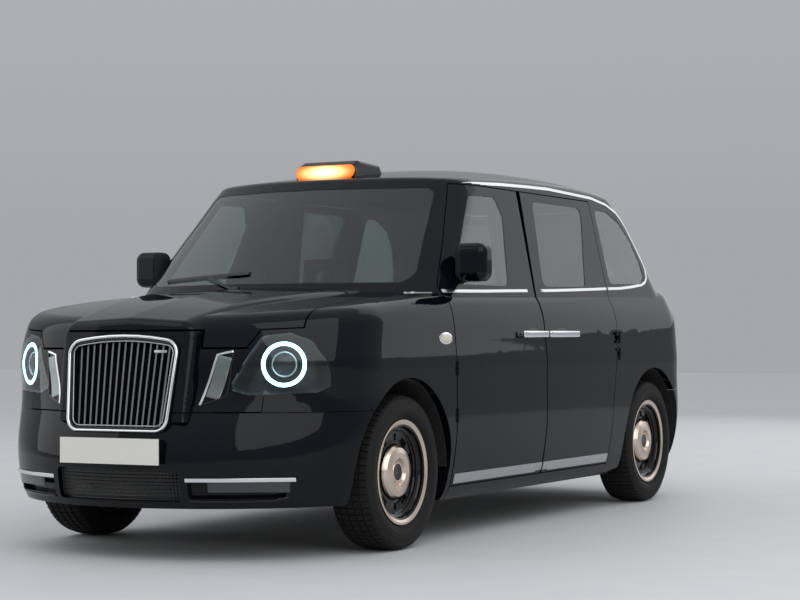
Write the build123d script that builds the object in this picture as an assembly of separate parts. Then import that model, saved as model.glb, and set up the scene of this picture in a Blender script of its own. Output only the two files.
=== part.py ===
from build123d import *
import os
from math import sin, cos, asin, sqrt, pi

# A purpose-built city taxi: five-door body with front-hinged front doors, rear-hinged
# rear doors, a partition behind the driver and three rear-facing tip-up seats.
# Millimetres. The nose points to -Y, the car's left side is +X, Z is up, and the
# origin lies on the ground under the middle of the box around the car.

# Overall sizes
LENGTH = 4857.0
BODY_WIDTH = 1876.0
WHEELBASE = 2985.0
FRONT_AXLE_Y = -1440.0
TRACK = 1610.0
PLATE_PROUD = 12.5
PLATE_SIZE = (520.0, 111.0)
PLATE_Z = 476.0

# Wheels, tyres and steering
TYRE_R = 350.0
TYRE_WIDTH = 215.0
RIM_R = 236.0
SEAT_R = 216.0
BARREL_R = 200.0
RIM_WIDTH = 186.0
HUB_BORE_R = 34.0
SPINDLE_PLAY = 0.05
KINGPIN_INSET = 35.0
BALL_JOINT_RISE = 110.0
ARCH_R = 425.0
ARM_WIDTH = 50.0

# Panels
LOWER_WALL = 78.0
UPPER_WALL = 42.0
NOSE_WALL = 55.0
ROOF_WALL = 32.0
BONNET_WALL = 24.0
SHUT_GAP = 6.0
FIT = 0.3
GLASS_SET = 2.0
GLASS_THICK = 5.0
DECK_ROUND = 100.0
ROOF_ROUND = 60.0
DECK_CROWN_R = 15000.0

# Heights and stations along the car
SILL_Z = 190.0
DOOR_BOTTOM_Z = 255.0
FLOOR_Z = 330.0
FLOOR_THICK = 28.0
BUMPER_TOP_Z = 640.0
BONNET_EDGE_Z = 915.0
LIP_Z = 992.0
DOOR_FRONT_Y = -975.0
DOOR_SPLIT_Y = 45.0
DOOR_REAR_Y = 1020.0
WAIST_Z = 1195.0
DOOR_HEAD_Z = 1716.0
TAILGATE_TOP_Z = 1700.0
TAILGATE_HALF = 600.0
BONNET_SIDE_X = 745.0
PARTITION_Y = 105.0
DRIVER_X = -380.0

# Hinges
HINGE_X = 940.0
FRONT_HINGE_Y = -975.0
REAR_HINGE_Y = 1018.0
FRONT_HINGE_Z = (590.0, 810.0)
REAR_HINGE_Z = (860.0, 950.0)
TAILGATE_HINGE_Y = 1757.0
TAILGATE_HINGE_Z = 1705.0
BONNET_HINGE_Y = -1280.0
BONNET_HINGE_Z = 1147.0
BONNET_PIN_X = 705.0
EYE_R = 8.0
EYE_ROOM_R = 13.0
PIN_HOLE_R = 4.0
EYE_LOW = 12.0
LUG_FROM = 17.0
LUG_TO = 30.0

NOSE_Y = -(LENGTH / 2 - PLATE_PROUD)
TAIL_Y = LENGTH / 2
HALF = BODY_WIDTH / 2
REAR_AXLE_Y = FRONT_AXLE_Y + WHEELBASE
WHEEL_X = TRACK / 2
KINGPIN_X = WHEEL_X - KINGPIN_INSET

# Level outlines of the lower body, from the sill up.
# columns: height, nose set back, nose bow, side tuck, tail set in, tail bow
LOWER = [
    (190, 75, 265, 83, 100, 170),
    (300, 12, 275, 33, 25, 180),
    (450, 0, 283, 8, 0, 180),
    (560, 25, 278, 0, 6, 180),
    (640, 60, 262, 0, 12, 180),
    (850, 106, 222, 0, 25, 175),
    (1000, 135, 225, 13, 38, 165),
    (1100, 170, 235, 33, 52, 160),
    (1180, 215, 245, 66, 75, 155),
    (1270, 270, 255, 88, 110, 150),
    (1400, 360, 265, 115, 160, 145),
]
# Level outlines of the glasshouse.
# columns: height, windscreen station, windscreen bow, side tuck, tail set in, tail bow
UPPER = [
    (1100, -1400, 190, 53, 160, 150),
    (1190, -1313, 185, 68, 216, 150),
    (1300, -1200, 180, 94, 300, 145),
    (1420, -1078, 170, 122, 395, 140),
    (1540, -956, 165, 150, 497, 135),
    (1650, -843, 157, 176, 612, 130),
    (1750, -735, 150, 202, 745, 130),
    (1850, -620, 145, 235, 930, 125),
    (1930, -530, 140, 262, 1130, 120),
]
# Roof over the middle of the car. columns: station, height, crown radius
ROOF_LINE = [(-1600, 1560, 9000), (-1200, 1655, 9000), (-800, 1737, 9000), (-400, 1798, 5500),
             (0, 1843, 3600), (400, 1875, 2800), (800, 1888, 2500), (1200, 1880, 2400),
             (1600, 1826, 2400), (2000, 1700, 2400), (2400, 1530, 2400)]
# Top of the bonnet and waist over the middle of the car. columns: station, height
DECK_LINE = [(-2700, 915), (-2300, 1030), (-1900, 1106), (-1500, 1156), (-1100, 1187),
             (-700, 1200), (-300, 1207), (100, 1215), (500, 1226), (900, 1239),
             (1300, 1252), (1700, 1258), (2100, 1254), (2500, 1240)]
# Raised middle of the bonnet. columns: station, half width, height in the middle, corner radius
BULGE = [(-2500, 330, 965, 60), (-2280, 350, 1042, 70), (-1900, 430, 1128, 80),
         (-1500, 540, 1178, 90), (-1250, 620, 1192, 100)]
COWL_BOTTOM_Z = 600.0
GRILLE_LEAN = 0.15
GRILLE_TOP_Z = 946.0
GRILLE_TOP_Y = -2300.0
GRILLE_LOW_Z = 552.0
GRILLE_TOP_HALF = 296.0
GRILLE_LOW_HALF = 266.0
GRILLE_ARCH = 30.0
GRILLE_ROUND = 62.0
GRILLE_BARS = 15


def level_outline(z, front, front_bow, half, rear, rear_bow, inset, front_share, rear_share):
    """Closed plan outline of eight tangent lines and arcs, drawn in by an inset."""
    front_x = half * front_share
    front_r = (front_x ** 2 + front_bow ** 2) / (2 * front_bow)
    front_turn = asin(front_x / front_r)
    front_corner = (half - front_x) / (1 - sin(front_turn))
    front_side_y = front + front_r * (1 - cos(front_turn)) + front_corner * cos(front_turn)
    rear_x = half * rear_share
    rear_r = (rear_x ** 2 + rear_bow ** 2) / (2 * rear_bow)
    rear_turn = asin(rear_x / rear_r)
    rear_corner = (half - rear_x) / (1 - sin(rear_turn))
    rear_side_y = rear - rear_r * (1 - cos(rear_turn)) - rear_corner * cos(rear_turn)

    def on_arc(centre_x, centre_y, radius, turn, way):
        return Vector(centre_x + (radius - inset) * sin(turn),
                      centre_y - way * (radius - inset) * cos(turn), z)

    def mirrored(p):
        return Vector(-p.X, p.Y, p.Z)

    nose = on_arc(0, front + front_r, front_r, 0, 1)
    nose_end = on_arc(0, front + front_r, front_r, front_turn, 1)
    corner_mid = on_arc(half - front_corner, front_side_y, front_corner,
                        (front_turn + pi / 2) / 2, 1)
    side_start = Vector(half - inset, front_side_y, z)
    side_end = Vector(half - inset, rear_side_y, z)
    tail_mid = on_arc(half - rear_corner, rear_side_y, rear_corner,
                      (rear_turn + pi / 2) / 2, -1)
    tail_end = on_arc(0, rear - rear_r, rear_r, rear_turn, -1)
    tail = on_arc(0, rear - rear_r, rear_r, 0, -1)
    return Wire([
        Edge.make_three_point_arc(mirrored(nose_end), nose, nose_end),
        Edge.make_three_point_arc(nose_end, corner_mid, side_start),
        Edge.make_line(side_start, side_end),
        Edge.make_three_point_arc(side_end, tail_mid, tail_end),
        Edge.make_three_point_arc(tail_end, tail, mirrored(tail_end)),
        Edge.make_three_point_arc(mirrored(tail_end), mirrored(tail_mid), mirrored(side_end)),
        Edge.make_line(mirrored(side_end), mirrored(side_start)),
        Edge.make_three_point_arc(mirrored(side_start), mirrored(corner_mid), mirrored(nose_end)),
    ])


made_forms = {}


def lower_form(inset):
    if ("lower", inset) in made_forms:
        return made_forms["lower", inset]
    made_forms["lower", inset] = Solid.make_loft([
        level_outline(z, NOSE_Y + set_back, bow, HALF - tuck, TAIL_Y - set_in, tail_bow,
                      inset, 0.78, 0.75)
        for z, set_back, bow, tuck, set_in, tail_bow in LOWER])
    return made_forms["lower", inset]


def upper_form(inset):
    if ("upper", inset) in made_forms:
        return made_forms["upper", inset]
    made_forms["upper", inset] = Solid.make_loft([
        level_outline(z, screen, bow, HALF - tuck, TAIL_Y - set_in, tail_bow,
                      inset, 0.80, 0.76)
        for z, screen, bow, tuck, set_in, tail_bow in UPPER])
    return made_forms["upper", inset]


def under_line(rows, drop, floor):
    """All space from a floor up to a crowned line along the car."""
    reach = 1050.0
    sections = []
    for y, z, radius in rows:
        top = z - drop
        edge = top - (radius - sqrt(radius ** 2 - reach ** 2))
        a, b, c = Vector(-reach, y, edge), Vector(0, y, top), Vector(reach, y, edge)
        sections.append(Wire([
            Edge.make_three_point_arc(a, b, c),
            Edge.make_line(c, (reach, y, floor)),
            Edge.make_line((reach, y, floor), (-reach, y, floor)),
            Edge.make_line((-reach, y, floor), a),
        ]))
    return Solid.make_loft(sections)


def under_roof(drop):
    return under_line(ROOF_LINE, drop, 900)


def under_deck(drop):
    return under_line([(y, z, DECK_CROWN_R) for y, z in DECK_LINE], drop, 100)


def prism_x(points, x0, x1, rounding=0.0):
    """Straight solid along X whose outline is given as (y, z)."""
    face = make_face(Polyline(*points, close=True))
    if rounding:
        face = fillet(face.vertices(), rounding)
    return extrude(Plane.YZ.offset(x0) * face, x1 - x0)


def prism_y(points, y0, y1, rounding=0.0):
    """Straight solid along Y whose outline is given as (x, z)."""
    face = make_face(Polyline(*points, close=True))
    if rounding:
        face = fillet(face.vertices(), rounding)
    plane = Plane(origin=(0, y0, 0), x_dir=(1, 0, 0), z_dir=(0, -1, 0))
    return extrude(plane * face, y0 - y1)


def prism_z(points, z0, z1, rounding=0.0):
    """Straight solid along Z whose outline is given as (x, y)."""
    face = make_face(Polyline(*points, close=True))
    if rounding:
        face = fillet(face.vertices(), rounding)
    return extrude(Plane.XY.offset(z0) * face, z1 - z0)


def block(x0, x1, y0, y1, z0, z1):
    return Pos((x0 + x1) / 2, (y0 + y1) / 2, (z0 + z1) / 2) * Box(x1 - x0, y1 - y0, z1 - z0)


def tube_x(radius, x0, x1, y, z):
    return Pos((x0 + x1) / 2, y, z) * Rot(0, 90, 0) * Cylinder(radius, x1 - x0)


def tube_y(radius, x, y0, y1, z):
    return Pos(x, (y0 + y1) / 2, z) * Rot(90, 0, 0) * Cylinder(radius, y1 - y0)


def tube_z(radius, x, y, z0, z1):
    return Pos(x, y, (z0 + z1) / 2) * Cylinder(radius, z1 - z0)


def mirror_x(shape):
    return mirror(shape, about=Plane.YZ)


def both_sides(shape):
    return [s for half in (shape, mirror_x(shape)) for s in half.solids()]


def keep(name, shapes):
    solids = []
    for shape in (shapes if isinstance(shapes, (list, tuple)) else [shapes]):
        solids += shape.solids()
    export_step(Compound(children=[Solid(s.wrapped) for s in solids]), f"parts/{name}.step")


def largest(shape):
    return max(shape.solids(), key=lambda s: s.volume)


def grille_y(z):
    """Station of the leaning grille plane at a height."""
    return GRILLE_TOP_Y - (GRILLE_TOP_Z - z) * GRILLE_LEAN


def fixed_eye(y, z, leaf_y):
    """Eye on the body's side of a door hinge, with its leaf reaching to leaf_y."""
    eye = tube_z(EYE_R, HINGE_X, y, z - EYE_LOW, z + EYE_LOW) \
        + block(HINGE_X - 15, HINGE_X, min(y, leaf_y), max(y, leaf_y), z - EYE_LOW, z + EYE_LOW)
    return eye - tube_z(PIN_HOLE_R, HINGE_X, y, z - 40, z + 40)


def door_lugs(y, z, leaf_y):
    """Pair of lugs and the pin on the door's side of a hinge."""
    lugs = tube_z(PIN_HOLE_R - SPINDLE_PLAY, HINGE_X, y, z - LUG_TO, z + LUG_TO)
    for z0, z1 in ((z - LUG_TO, z - LUG_FROM), (z + LUG_FROM, z + LUG_TO)):
        lugs += tube_z(EYE_R, HINGE_X, y, z0, z1)
        lugs += block(HINGE_X - 15, HINGE_X, min(y, leaf_y), max(y, leaf_y), z0, z1)
    return lugs


def eye_room(y, z, reach=0.0):
    """Space kept free round a door hinge; reach lengthens it towards the door."""
    room = tube_z(EYE_ROOM_R, HINGE_X, y, z - LUG_TO - 5, z + LUG_TO + 5)
    if reach:
        room += block(HINGE_X - 22, HINGE_X + 30, y - reach, y, z - LUG_TO - 5, z + LUG_TO + 5)
    return room


os.makedirs("parts", exist_ok=True)

# The whole skin: a lower body, the raised bonnet and the glasshouse.
deck = under_deck(0)
lower_body = largest(lower_form(0) & deck)
deck_face = max([f for f in lower_body.faces() if f.center().Z > 1000 and abs(f.center().X) < 20],
                key=lambda f: f.area)
lower_body = lower_body.fillet(DECK_ROUND, deck_face.edges())

bulge_sections = []
for y, half, top, corner in BULGE:
    sketch = make_face(Polyline((-half, COWL_BOTTOM_Z), (half, COWL_BOTTOM_Z), (half, top - 14),
                                (0, top + 4), (-half, top - 14), close=True))
    corners = [v for v in sketch.vertices() if abs(abs(v.X) - half) < 1 and v.Y > COWL_BOTTOM_Z + 50]
    sketch = fillet(corners, corner)
    bulge_sections.append((Plane(origin=(0, y, 0), x_dir=(1, 0, 0), z_dir=(0, -1, 0)) * sketch).face()
                          .outer_wire())
bulge = Solid.make_loft(bulge_sections)
behind_grille = prism_x([(grille_y(COWL_BOTTOM_Z - 40) - 6, COWL_BOTTOM_Z - 40),
                         (grille_y(1200) - 6, 1200), (-1200, 1200),
                         (-1200, COWL_BOTTOM_Z - 40)], -700, 700)
bulge = largest(bulge & behind_grille)
front_face = min(bulge.faces(), key=lambda f: f.center().Y)
rim_edges = [e for e in front_face.edges() if e.center().Z > COWL_BOTTOM_Z + 20]
bulge = bulge.fillet(38, rim_edges)

cabin = largest(upper_form(0) & under_roof(0))
roof_face = max([f for f in cabin.faces() if f.center().Z > 1800], key=lambda f: f.area)
cabin = cabin.fillet(ROOF_ROUND, roof_face.edges())

# Hollows: the cabin, the nose behind its panels, and the space under the bonnet skin.
upper_void = largest(upper_form(UPPER_WALL) & under_roof(ROOF_WALL))
lower_void = largest(lower_form(LOWER_WALL) & under_deck(40))
rear_half = block(-1000, 1000, DOOR_FRONT_Y, 2600, 100, 1400)
cabin_shell = (cabin + (lower_body & rear_half)) - lower_void - upper_void
nose_half = block(-1000, 1000, -2600, DOOR_FRONT_Y - SHUT_GAP, 100, 1400)
nose_skin = ((lower_body + bulge) & nose_half) - upper_form(-FIT)
nose_shell = nose_skin - (lower_form(NOSE_WALL) & under_deck(40))
bonnet_shell = nose_skin - (lower_form(BONNET_WALL) & under_deck(BONNET_WALL))

# Shut lines and openings. Outlines in the side view are (station, height), and
# outlines in the front view are (distance from the middle, height).
SPLIT_LEAN = 60.0
FRONT_DOOR = [(DOOR_FRONT_Y, DOOR_BOTTOM_Z), (DOOR_FRONT_Y, WAIST_Z), (-555, DOOR_HEAD_Z),
              (DOOR_SPLIT_Y + SPLIT_LEAN, DOOR_HEAD_Z), (DOOR_SPLIT_Y, WAIST_Z),
              (DOOR_SPLIT_Y, DOOR_BOTTOM_Z)]
REAR_DOOR = [(DOOR_SPLIT_Y, DOOR_BOTTOM_Z), (DOOR_SPLIT_Y, WAIST_Z),
             (DOOR_SPLIT_Y + SPLIT_LEAN, DOOR_HEAD_Z), (DOOR_REAR_Y + 18, DOOR_HEAD_Z),
             (DOOR_REAR_Y, WAIST_Z + 40), (DOOR_REAR_Y, 1020), (DOOR_REAR_Y - 38, 800),
             (DOOR_REAR_Y - 92, 560), (DOOR_REAR_Y - 98, DOOR_BOTTOM_Z)]
FRONT_GLASS = [(-868, 1208), (-482, 1660), (-200, 1668), (-150, 1570), (-262, 1212)]
REAR_GLASS = [(164, 1216), (262, 1672), (905, 1672), (722, 1228)]
QUARTER_GLASS = [(1085, 1250), (1095, 1672), (1270, 1668), (1430, 1610), (1540, 1510),
                 (1610, 1390), (1625, 1300), (1560, 1262)]
ROOF_SPLIT_Z = 1694.0
ROOF_HALF = 640.0
SCREEN = [(-752, 1214), (752, 1214), (ROOF_HALF, ROOF_SPLIT_Z), (-ROOF_HALF, ROOF_SPLIT_Z)]
REAR_SCREEN = [(-520, 1290), (520, 1290), (440, 1640), (-440, 1640)]
TAILGATE = [(-TAILGATE_HALF, BUMPER_TOP_Z), (TAILGATE_HALF, BUMPER_TOP_Z),
            (TAILGATE_HALF, 1150), (TAILGATE_HALF - 40, 1400), (480, TAILGATE_TOP_Z),
            (-480, TAILGATE_TOP_Z), (-TAILGATE_HALF + 40, 1400), (-TAILGATE_HALF, 1150)]
HEADLAMP = [(478, 738), (560, 712), (800, 722), (842, 748), (840, 850), (778, 946),
            (700, 980), (600, 966)]
TAIL_LAMP = [(650, 800), (800, 800), (792, 1120), (660, 1120)]
COWL_HALF = 362.0
BONNET_FRONT = [(-BONNET_SIDE_X, 1000), (-592, 992), (-545, BONNET_EDGE_Z),
                (-COWL_HALF, BONNET_EDGE_Z), (-COWL_HALF, LIP_Z), (COWL_HALF, LIP_Z),
                (COWL_HALF, BONNET_EDGE_Z), (545, BONNET_EDGE_Z), (592, 992),
                (BONNET_SIDE_X, 1000), (BONNET_SIDE_X, 1400), (-BONNET_SIDE_X, 1400)]
NOSE_PANEL_HALF = 617.0
BONNET_REAR_R = 1900.0
SCUTTLE_EDGE_R = 1814.0


def side_cut(points, grown, rounding=0.0, x0=500.0, x1=1000.0):
    face = make_face(Polyline(*points, close=True))
    if grown:
        face = offset(face, grown, kind=Kind.INTERSECTION)
    if rounding:
        face = fillet(face.vertices(), rounding + grown)
    return extrude(Plane.YZ.offset(x0) * face, x1 - x0)


def front_cut(points, grown, y0, y1, rounding=0.0):
    face = make_face(Polyline(*points, close=True))
    if grown:
        face = offset(face, grown, kind=Kind.INTERSECTION)
    if rounding:
        face = fillet(face.vertices(), rounding + grown)
    return extrude(Plane(origin=(0, y0, 0), x_dir=(1, 0, 0), z_dir=(0, -1, 0)) * face, y0 - y1)


def wheel_opening(y, inset=0.0, x0=560.0, x1=1000.0):
    """Round head over a wheel that runs straight down below the axle."""
    r = ARCH_R - inset
    return tube_x(r, x0, x1, y, TYRE_R) + block(x0, x1, y - r, y + r, 50, TYRE_R)


def split_trim(way):
    """What is taken off a door beyond the middle shut line, so its inner edge swings clear."""
    wires = []
    for z, y in ((100, DOOR_SPLIT_Y), (WAIST_Z, DOOR_SPLIT_Y),
                 (DOOR_HEAD_Z, DOOR_SPLIT_Y + SPLIT_LEAN)):
        outer_y, inner_y = y + way * SHUT_GAP / 2, y + way * (SHUT_GAP / 2 + 38)
        wires.append(Wire.make_polygon([(960, outer_y, z), (560, inner_y, z),
                                        (560, y - way * 90, z), (960, y - way * 90, z)]))
    return Solid.make_loft(wires[:2], True) + Solid.make_loft(wires[1:], True)


half_gap = SHUT_GAP / 2
left = cabin_shell & block(0, 1000, -1600, 2600, 100, 2000)
front_door = (left & side_cut(FRONT_DOOR, -half_gap)) - side_cut(FRONT_GLASS, 0, 42) - split_trim(-1)
rear_door = (left & side_cut(REAR_DOOR, -half_gap)) - side_cut(REAR_GLASS, 0, 42) - split_trim(1)
tailgate = (cabin_shell & front_cut(TAILGATE, -half_gap, 1500, 2600)) \
    - front_cut(REAR_SCREEN, 0, 1500, 2600, 60)
tailgate_space = front_cut(TAILGATE, half_gap, 1500, 2600)
roof_space = front_cut([(-ROOF_HALF, ROOF_SPLIT_Z), (ROOF_HALF, ROOF_SPLIT_Z), (ROOF_HALF, 2000),
                        (-ROOF_HALF, 2000)], 0, -1700, 2600)
front_door_room = side_cut(FRONT_DOOR, half_gap)
roof_panel = (cabin_shell & roof_space) - tailgate_space - front_door_room - mirror_x(front_door_room)
bumper_space = block(-1000, 1000, 1700, 2600, 100, BUMPER_TOP_Z - half_gap)
rear_arch = wheel_opening(REAR_AXLE_Y)
front_arch = wheel_opening(FRONT_AXLE_Y)
rear_bumper = (cabin_shell & bumper_space) - rear_arch - mirror_x(rear_arch)

# The post behind the middle shut line stands on the floor and ends in the roof rail.
POST_TOP_Z = 1760.0
post_lower = (lower_form(LOWER_WALL + SHUT_GAP) - lower_form(LOWER_WALL + 55)) \
    & block(500, 1000, DOOR_SPLIT_Y - 40, DOOR_SPLIT_Y + 55, FLOOR_Z, WAIST_Z - 30)
post_upper = (upper_form(UPPER_WALL + SHUT_GAP) - upper_form(UPPER_WALL + 50)) \
    & prism_x([(DOOR_SPLIT_Y - 40, WAIST_Z - 40), (DOOR_SPLIT_Y + 20, POST_TOP_Z),
               (DOOR_SPLIT_Y + 115, POST_TOP_Z), (DOOR_SPLIT_Y + 55, WAIST_Z - 40)], 500, 1000)
post_head = (upper_form(20) - upper_form(UPPER_WALL + 50)) & under_roof(6) \
    & block(500, 1000, DOOR_SPLIT_Y + 10, DOOR_SPLIT_Y + 110, DOOR_HEAD_Z + half_gap, POST_TOP_Z)
post = (post_lower + post_upper + post_head) - block(0, ROOF_HALF + FIT, -500, 500, ROOF_SPLIT_Z, 2000)
side = left - front_door_room - side_cut(REAR_DOOR, half_gap) \
    - side_cut(QUARTER_GLASS, 0, 38) - front_cut(SCREEN, 0, -1700, -300, 55) - rear_arch \
    - tailgate_space - block(-1000, 1000, 1700 - FIT, 2600, 100, BUMPER_TOP_Z + FIT) \
    - front_cut([(-ROOF_HALF, ROOF_SPLIT_Z), (ROOF_HALF, ROOF_SPLIT_Z), (ROOF_HALF, 2000),
                 (-ROOF_HALF, 2000)], FIT, -1700, 2600)
lamp_pocket = front_cut(TAIL_LAMP, 0, 1800, 2600, 20) - lower_form(30 + FIT)
tail_lamp = (front_cut(TAIL_LAMP, -FIT, 1800, 2600, 20) & lower_form(0)) - lower_form(30)
side = side + post - lamp_pocket
for z in REAR_HINGE_Z:
    side = (side - eye_room(REAR_HINGE_Y, z, 38)) + fixed_eye(REAR_HINGE_Y, z, REAR_HINGE_Y + 16)
    rear_door = (rear_door - eye_room(REAR_HINGE_Y, z)) + door_lugs(REAR_HINGE_Y, z, REAR_HINGE_Y - 38)
roof_eye = tube_x(EYE_R, -60, 60, TAILGATE_HINGE_Y, TAILGATE_HINGE_Z) \
    + block(-60, 60, TAILGATE_HINGE_Y - 34, TAILGATE_HINGE_Y, TAILGATE_HINGE_Z, TAILGATE_HINGE_Z + 7)
gate_eye = tube_x(PIN_HOLE_R - SPINDLE_PLAY, -100, 100, TAILGATE_HINGE_Y, TAILGATE_HINGE_Z)
for x0, x1 in ((-100, -65), (65, 100)):
    gate_eye += tube_x(EYE_R, x0, x1, TAILGATE_HINGE_Y, TAILGATE_HINGE_Z)
    gate_eye += block(x0, x1, TAILGATE_HINGE_Y - 8, TAILGATE_HINGE_Y, TAILGATE_HINGE_Z - 36, TAILGATE_HINGE_Z)
hinge_room = tube_x(EYE_ROOM_R, -105, 105, TAILGATE_HINGE_Y, TAILGATE_HINGE_Z)
roof_panel = (roof_panel - hinge_room) + roof_eye \
    - tube_x(PIN_HOLE_R, -105, 105, TAILGATE_HINGE_Y, TAILGATE_HINGE_Z)
tailgate = (tailgate - hinge_room) + gate_eye
keep("body_sides", side + mirror_x(side))
keep("roof_panel", roof_panel)
keep("rear_bumper", rear_bumper)
keep("tail_lamps", both_sides(tail_lamp))
keep("tailgate", tailgate)
keep("rear_door_left", rear_door)
keep("rear_door_right", mirror_x(rear_door))

# Glass follows the skin just under its surface.
pane_skin = upper_form(GLASS_SET) - upper_form(GLASS_SET + GLASS_THICK)
front_door_glass = pane_skin & side_cut(FRONT_GLASS, -FIT, 42)
rear_door_glass = pane_skin & side_cut(REAR_GLASS, -FIT, 42)
quarter_glass = pane_skin & side_cut(QUARTER_GLASS, -FIT, 38)
windscreen = pane_skin & front_cut(SCREEN, -FIT, -1700, -300, 55)
tailgate_glass = pane_skin & front_cut(REAR_SCREEN, -FIT, 1500, 2600, 60)
keep("fixed_glass", [windscreen] + both_sides(quarter_glass))
keep("front_door_glass_left", front_door_glass)
keep("front_door_glass_right", mirror_x(front_door_glass))
keep("rear_door_glass_left", rear_door_glass)
keep("rear_door_glass_right", mirror_x(rear_door_glass))
keep("tailgate_glass", tailgate_glass)

# Door mirror: a housing that faces back on a short stalk over the waist.
MIRROR_TIP_X = 1018.0
MIRROR_WIDTH, MIRROR_DEPTH, MIRROR_HEIGHT = 168.0, 128.0, 184.0
MIRROR_Y = -790.0
MIRROR_Z = 1314.0
MIRROR_ROUND = 44.0
MIRROR_RIM = 16.0
MIRROR_RECESS = 10.0
mirror_back_y = MIRROR_Y + MIRROR_DEPTH / 2
housing = Pos(MIRROR_TIP_X - MIRROR_WIDTH / 2, MIRROR_Y, MIRROR_Z) * Box(MIRROR_WIDTH, MIRROR_DEPTH, MIRROR_HEIGHT)
housing = fillet(housing.edges(), MIRROR_ROUND)
housing = housing - prism_y([(MIRROR_TIP_X - MIRROR_WIDTH + MIRROR_RIM, MIRROR_Z - MIRROR_HEIGHT / 2 + MIRROR_RIM),
                             (MIRROR_TIP_X - MIRROR_RIM, MIRROR_Z - MIRROR_HEIGHT / 2 + MIRROR_RIM),
                             (MIRROR_TIP_X - MIRROR_RIM, MIRROR_Z + MIRROR_HEIGHT / 2 - MIRROR_RIM),
                             (MIRROR_TIP_X - MIRROR_WIDTH + MIRROR_RIM, MIRROR_Z + MIRROR_HEIGHT / 2 - MIRROR_RIM)],
                            mirror_back_y - MIRROR_RECESS, mirror_back_y + 1, MIRROR_ROUND - MIRROR_RIM)
stalk = prism_y([(838, 1196), (905, 1228), (960, 1262), (905, 1262), (838, 1236)], -820, -775)
mirror_arm = (stalk + housing) - cabin - lower_body
front_door = front_door + largest(mirror_arm)
for z in FRONT_HINGE_Z:
    front_door = (front_door - eye_room(FRONT_HINGE_Y, z)) + door_lugs(FRONT_HINGE_Y, z, FRONT_HINGE_Y + 20)
keep("front_door_left", front_door)
keep("front_door_right", mirror_x(front_door))

# Nose: bonnet, nose panel, wings, bumper and scuttle share one skin.
BONNET_ARC_Y = BONNET_REAR_R - 1415
NOSE_PANEL = [(-NOSE_PANEL_HALF, BUMPER_TOP_Z), (NOSE_PANEL_HALF, BUMPER_TOP_Z),
              (NOSE_PANEL_HALF, BONNET_EDGE_Z - half_gap), (COWL_HALF - half_gap, BONNET_EDGE_Z - half_gap),
              (COWL_HALF - half_gap, LIP_Z - half_gap), (half_gap - COWL_HALF, LIP_Z - half_gap),
              (half_gap - COWL_HALF, BONNET_EDGE_Z - half_gap), (-NOSE_PANEL_HALF, BONNET_EDGE_Z - half_gap)]
GRILLE = [(-GRILLE_LOW_HALF, GRILLE_LOW_Z), (GRILLE_LOW_HALF, GRILLE_LOW_Z),
          (GRILLE_TOP_HALF, GRILLE_TOP_Z), (GRILLE_TOP_HALF / 2, GRILLE_TOP_Z + GRILLE_ARCH * 0.75),
          (0, GRILLE_TOP_Z + GRILLE_ARCH), (-GRILLE_TOP_HALF / 2, GRILLE_TOP_Z + GRILLE_ARCH * 0.75),
          (-GRILLE_TOP_HALF, GRILLE_TOP_Z)]
grille_opening = front_cut(GRILLE, 0, -2600, -2100, GRILLE_ROUND)
lamp_hole = front_cut(HEADLAMP, 0, -2600, -1700, 26)
# The scuttle's front edge is bowed more than the bonnet's rear edge: their gap widens from
# 10 in the middle to 17 at the hinges, where the bonnet's corners swing back as it opens.
SCUTTLE_ARC_Y = BONNET_ARC_Y - (BONNET_REAR_R - 5) + SCUTTLE_EDGE_R
scuttle_arc = tube_z(SCUTTLE_EDGE_R, 0, SCUTTLE_ARC_Y, 900, 1400)
bonnet_arc_out = tube_z(BONNET_REAR_R + 5, 0, BONNET_ARC_Y, 900, 1400)
bonnet = (bonnet_shell & front_cut(BONNET_FRONT, -half_gap, -2600, -1100)) - bonnet_arc_out
bonnet_room = front_cut(BONNET_FRONT, half_gap, -2600, -1100)
nose_panel = (nose_shell & front_cut(NOSE_PANEL, -half_gap, -2600, -1900)) \
    - grille_opening - lamp_hole - mirror_x(lamp_hole)
scuttle_skin = nose_shell & scuttle_arc & bonnet_room
bumper_room = block(-1000, 1000, -2600, FRONT_AXLE_Y, 100, BUMPER_TOP_Z)
left_nose = nose_shell & block(0, 1000, -2600, DOOR_FRONT_Y - SHUT_GAP, 100, 1400)
wing = largest(left_nose - bonnet_room - bumper_room - lamp_hole - front_arch
               - front_cut(NOSE_PANEL, 0, -2600, -1900))
for z in FRONT_HINGE_Z:
    wing = (wing - eye_room(FRONT_HINGE_Y, z)) + fixed_eye(FRONT_HINGE_Y, z, FRONT_HINGE_Y - 20)
bonnet_pin = tube_x(PIN_HOLE_R - SPINDLE_PLAY, BONNET_PIN_X, 800, BONNET_HINGE_Y, BONNET_HINGE_Z)
bonnet_bore = tube_x(PIN_HOLE_R, BONNET_PIN_X - 5, 800, BONNET_HINGE_Y, BONNET_HINGE_Z)
wing = wing + bonnet_pin
bonnet = bonnet - bonnet_bore - mirror_x(bonnet_bore)
front_bumper = (nose_shell & block(-1000, 1000, -2600, FRONT_AXLE_Y, 232, BUMPER_TOP_Z - half_gap)) \
    - front_arch - mirror_x(front_arch) - grille_opening

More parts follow.
